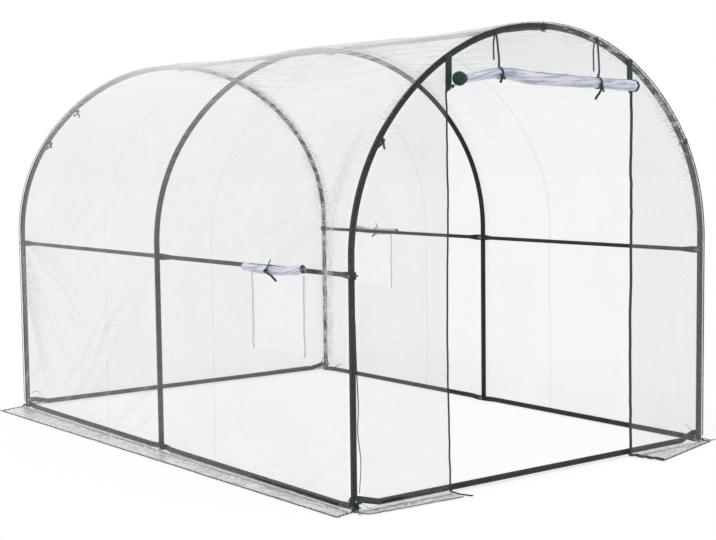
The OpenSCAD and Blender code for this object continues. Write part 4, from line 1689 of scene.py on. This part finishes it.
@dataclass
class Stage:
    """The camera, the lamps, the pale floor and the white surroundings."""

    place: tuple = (-4.1003, -5.5781, 1.3307)
    yaw: float = 0.6507779
    pitch: float = 0.0809567
    roll: float = -0.0120131
    lens: float = 70.03

    def camera(self) -> None:
        """Sets the camera: it looks along the heading, then down, then leans."""
        yaw, pitch, roll = self.yaw, self.pitch, self.roll
        ahead = np.array([math.sin(yaw) * math.cos(pitch), math.cos(yaw) * math.cos(pitch), -math.sin(pitch)])
        right = np.array([math.cos(yaw), -math.sin(yaw), 0.0])
        up = np.cross(right, ahead)
        across = math.cos(roll) * right + math.sin(roll) * up
        upright = -math.sin(roll) * right + math.cos(roll) * up
        data = bpy.data.cameras.new("camera")
        data.lens, data.sensor_width = self.lens, 36.0
        data.clip_start, data.clip_end = 0.1, 200.0
        made = bpy.data.objects.new("camera", data)
        made.matrix_world = Matrix(
            (
                (across[0], upright[0], -ahead[0], self.place[0]),
                (across[1], upright[1], -ahead[1], self.place[1]),
                (across[2], upright[2], -ahead[2], self.place[2]),
                (0, 0, 0, 1),
            )
        )
        bpy.context.scene.collection.objects.link(made)
        bpy.context.scene.camera = made

    def surroundings(self, level: float = 0.62) -> None:
        """White where it is seen or mirrored, and an even light of that level everywhere else."""
        g = Graph("studio", world=True)
        strength = g.span(g.seen(), 0, 1, level, 1)
        bpy.context.scene.world = g.finish(g.add("Background", {"Color": WHITE, "Strength": strength}))

    def lamp(self, name: str, power: float, heading: float, height: float, spread: float) -> None:
        """Adds a soft sun: heading is the way it comes from, in degrees from -Y towards +X."""
        data = bpy.data.lights.new(name, "SUN")
        data.energy, data.angle = power, math.radians(spread)
        a, e = math.radians(heading), math.radians(height)
        source = Vector((math.sin(a) * math.cos(e), -math.cos(a) * math.cos(e), math.sin(e)))
        made = bpy.data.objects.new(name, data)
        made.rotation_mode = "QUATERNION"
        made.rotation_quaternion = source.to_track_quat("Z", "Y")
        made.visible_glossy = False
        bpy.context.scene.collection.objects.link(made)

    def floor(self, reach: float = 60.0) -> None:
        """A large pale floor: it shows the tunnel's shadow, and reads as white where nothing shades it."""
        edge = np.linspace(-reach, reach, 3)
        xx, yy = np.meshgrid(edge, edge, indexing="ij")
        below = -0.0005
        points = np.stack([xx, yy, np.full_like(xx, below)], axis=-1)
        g = Graph("studio_floor")
        place = g.add("TexCoord").outputs["Object"]
        grain = g.span(g.noise(place, (3, 3, 3), 2), 0.3, 0.7, 0, 1)
        seen = g.seen()
        pale = g.tint(grain, (0.86, 0.86, 0.86), (0.88, 0.88, 0.88))
        matt = g.add("BsdfDiffuse", {"Color": g.tint(seen, pale, (0.34, 0.34, 0.34))})
        glow = g.add("Emission", {"Color": WHITE, "Strength": g.sum("MULTIPLY", seen, 0.70)})
        surface = Surface.from_grid(points, points[..., :2])
        mesh = bpy.data.meshes.new("floor")
        mesh.from_pydata(surface.points.tolist(), [], surface.faces)
        mesh.materials.append(g.finish(g.add("AddShader", {0: matt.outputs[0], 1: glow.outputs[0]})))
        made = bpy.data.objects.new("floor", mesh)
        bpy.context.scene.collection.objects.link(made)

    def build(self) -> None:
        """Sets everything up."""
        self.camera()
        self.surroundings()
        self.floor()
        self.lamp("key", 1.0, -70, 48, 35)
        self.lamp("fill", 0.35, 60, 35, 60)
        bpy.context.scene.view_settings.view_transform = "Standard"


# ---------------------------------------------------------------- main


def dress_frame() -> None:
    """Gives every steel node the powder coat."""
    words = ("_leg", "_bend", "_crown", "_rail")
    for name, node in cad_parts.items():
        if name.endswith(words):
            node.data.materials.clear()
            node.data.materials.append(COAT.material())


def end_panels(door_x0: float, door_x1: float, roll_z: float) -> dict[str, EndPanel]:
    """Makes the panels of both end walls.

    Args:
        door_x0: the door's left edge.
        door_x1: the door's right edge.
        roll_z: height of the rolled-up door.

    Returns:
        The panels that have a skirt, by name.
    """
    post, edge = TUNNEL.half_span, TUNNEL.half_span + TUNNEL.offset
    panels = (
        EndPanel(
            "back_panel", End.BACK, -edge, edge, ("back_end_film", "back_skirt"), ("back_crown",),
            hem=((-edge + 0.03, 0.074), (post - 0.015, 0.176)), salt=2,
        ),
        EndPanel(
            "front_left_panel", End.FRONT, -edge, door_x0, ("front_left_end_film", "front_left_skirt"),
            ("front_left_leg",),
            hem=((-post + 0.016, 0.074), (door_x0 - 0.005, 0.100)), salt=5, loose=(0, 0.008),
        ),
        EndPanel(
            "front_right_panel", End.FRONT, door_x1, edge, ("front_right_end_film", "front_right_skirt"),
            ("front_right_leg",),
            hem=((door_x1 + 0.034, 0.176), (post + 0.032, 0.042)), salt=8, loose=(0.006, 0),
        ),
        EndPanel(
            "door_panel", End.FRONT, door_x0, door_x1, ("door_film",), ("front_crown",),
            bottom=roll_z, salt=11,
        ),
    )
    for panel in panels:
        panel.make()
    return {panel.name: panel for panel in panels if panel.hem}


def rolled_door(low: Vector, high: Vector) -> Roll:
    """Makes the rolled-up door in its box, thicker in the middle and sagging to the right."""
    y, z = (low.y + high.y) / 2, (low.z + high.z) / 2
    roll = Roll(
        "rolled_door",
        line=(
            (low.x - 0.004, y, z - 0.006), (-0.275, y, z + 0.019), (-0.100, y - 0.002, z + 0.003),
            (0.085, y - 0.001, z - 0.003), (0.280, y, z - 0.007), (high.x - 0.018, y + 0.001, z - 0.015),
        ),
        radii=(0.0175, 0.0220, 0.0285, 0.0265, 0.0235, 0.0255),
        turns=16, outer_turn=0.6 * HALF_TURN, salt=1,
    )
    roll.make(("door_roll",), ("front_crown",))
    return roll


def rolled_window(side: Side) -> Roll:
    """Makes a rolled-up window flap, whose line droops in the middle and rises at its last end."""
    name = side.name.lower()
    low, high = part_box(f"{name}_window_roll")
    x, z = (low.x + high.x) / 2, (low.z + high.z) / 2
    ends = (high.y, low.y) if side is Side.LEFT else (low.y, high.y)
    rises = (0, -0.004, -0.003, 0.012)
    roll = Roll(
        f"{name}_rolled_window",
        line=tuple((x, y, z + rise) for y, rise in zip(np.linspace(*ends, 4), rises)),
        radii=(0.0175, 0.0205, 0.0195, 0.0185), turns=5, salt=3 + side.value, core=0.15,
    )
    roll.make((f"{name}_window_roll",), (f"front_{name}_side_rail",))
    return roll


def main() -> None:
    """Builds the stage, then the tunnel's pieces."""
    logging.basicConfig(level=logging.INFO, format="%(message)s")
    Stage().build()
    dress_frame()
    heads = {abs(bolt.centre[2]) for bolt in placed_bolts() if bolt.inward[0]} | {TUNNEL.length / 2}
    cover = Cover(heads=tuple(sorted(heads))).build()
    roll_low, roll_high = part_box("door_roll")
    slack = 0.012
    door_x0, door_x1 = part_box("front_left_end_film")[1].x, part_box("front_right_end_film")[0].x + slack
    panels = end_panels(door_x0, door_x1, (roll_low.z + roll_high.z) / 2)
    door_roll = rolled_door(roll_low, roll_high)
    window_rolls = {}
    for side in Side:
        window_rolls[side] = rolled_window(side)
        window_net(side)
    drawn_film(End.BACK, 0.20, TUNNEL.length / 2 - 0.06, 0.005, -0.30)
    drawn_film(End.FRONT, 0.35, 1.10, 0.0012, 0.0)
    trim = Trim()
    trim.hems(cover, panels)
    trim.door(panels["front_left_panel"], panels["front_right_panel"])
    trim.piping()
    trim.door_straps(door_roll)
    trim.windows(window_rolls)
    trim.window_seams()
    trim.ties()
    trim.bolts()


if __name__ == "__main__":
    main()
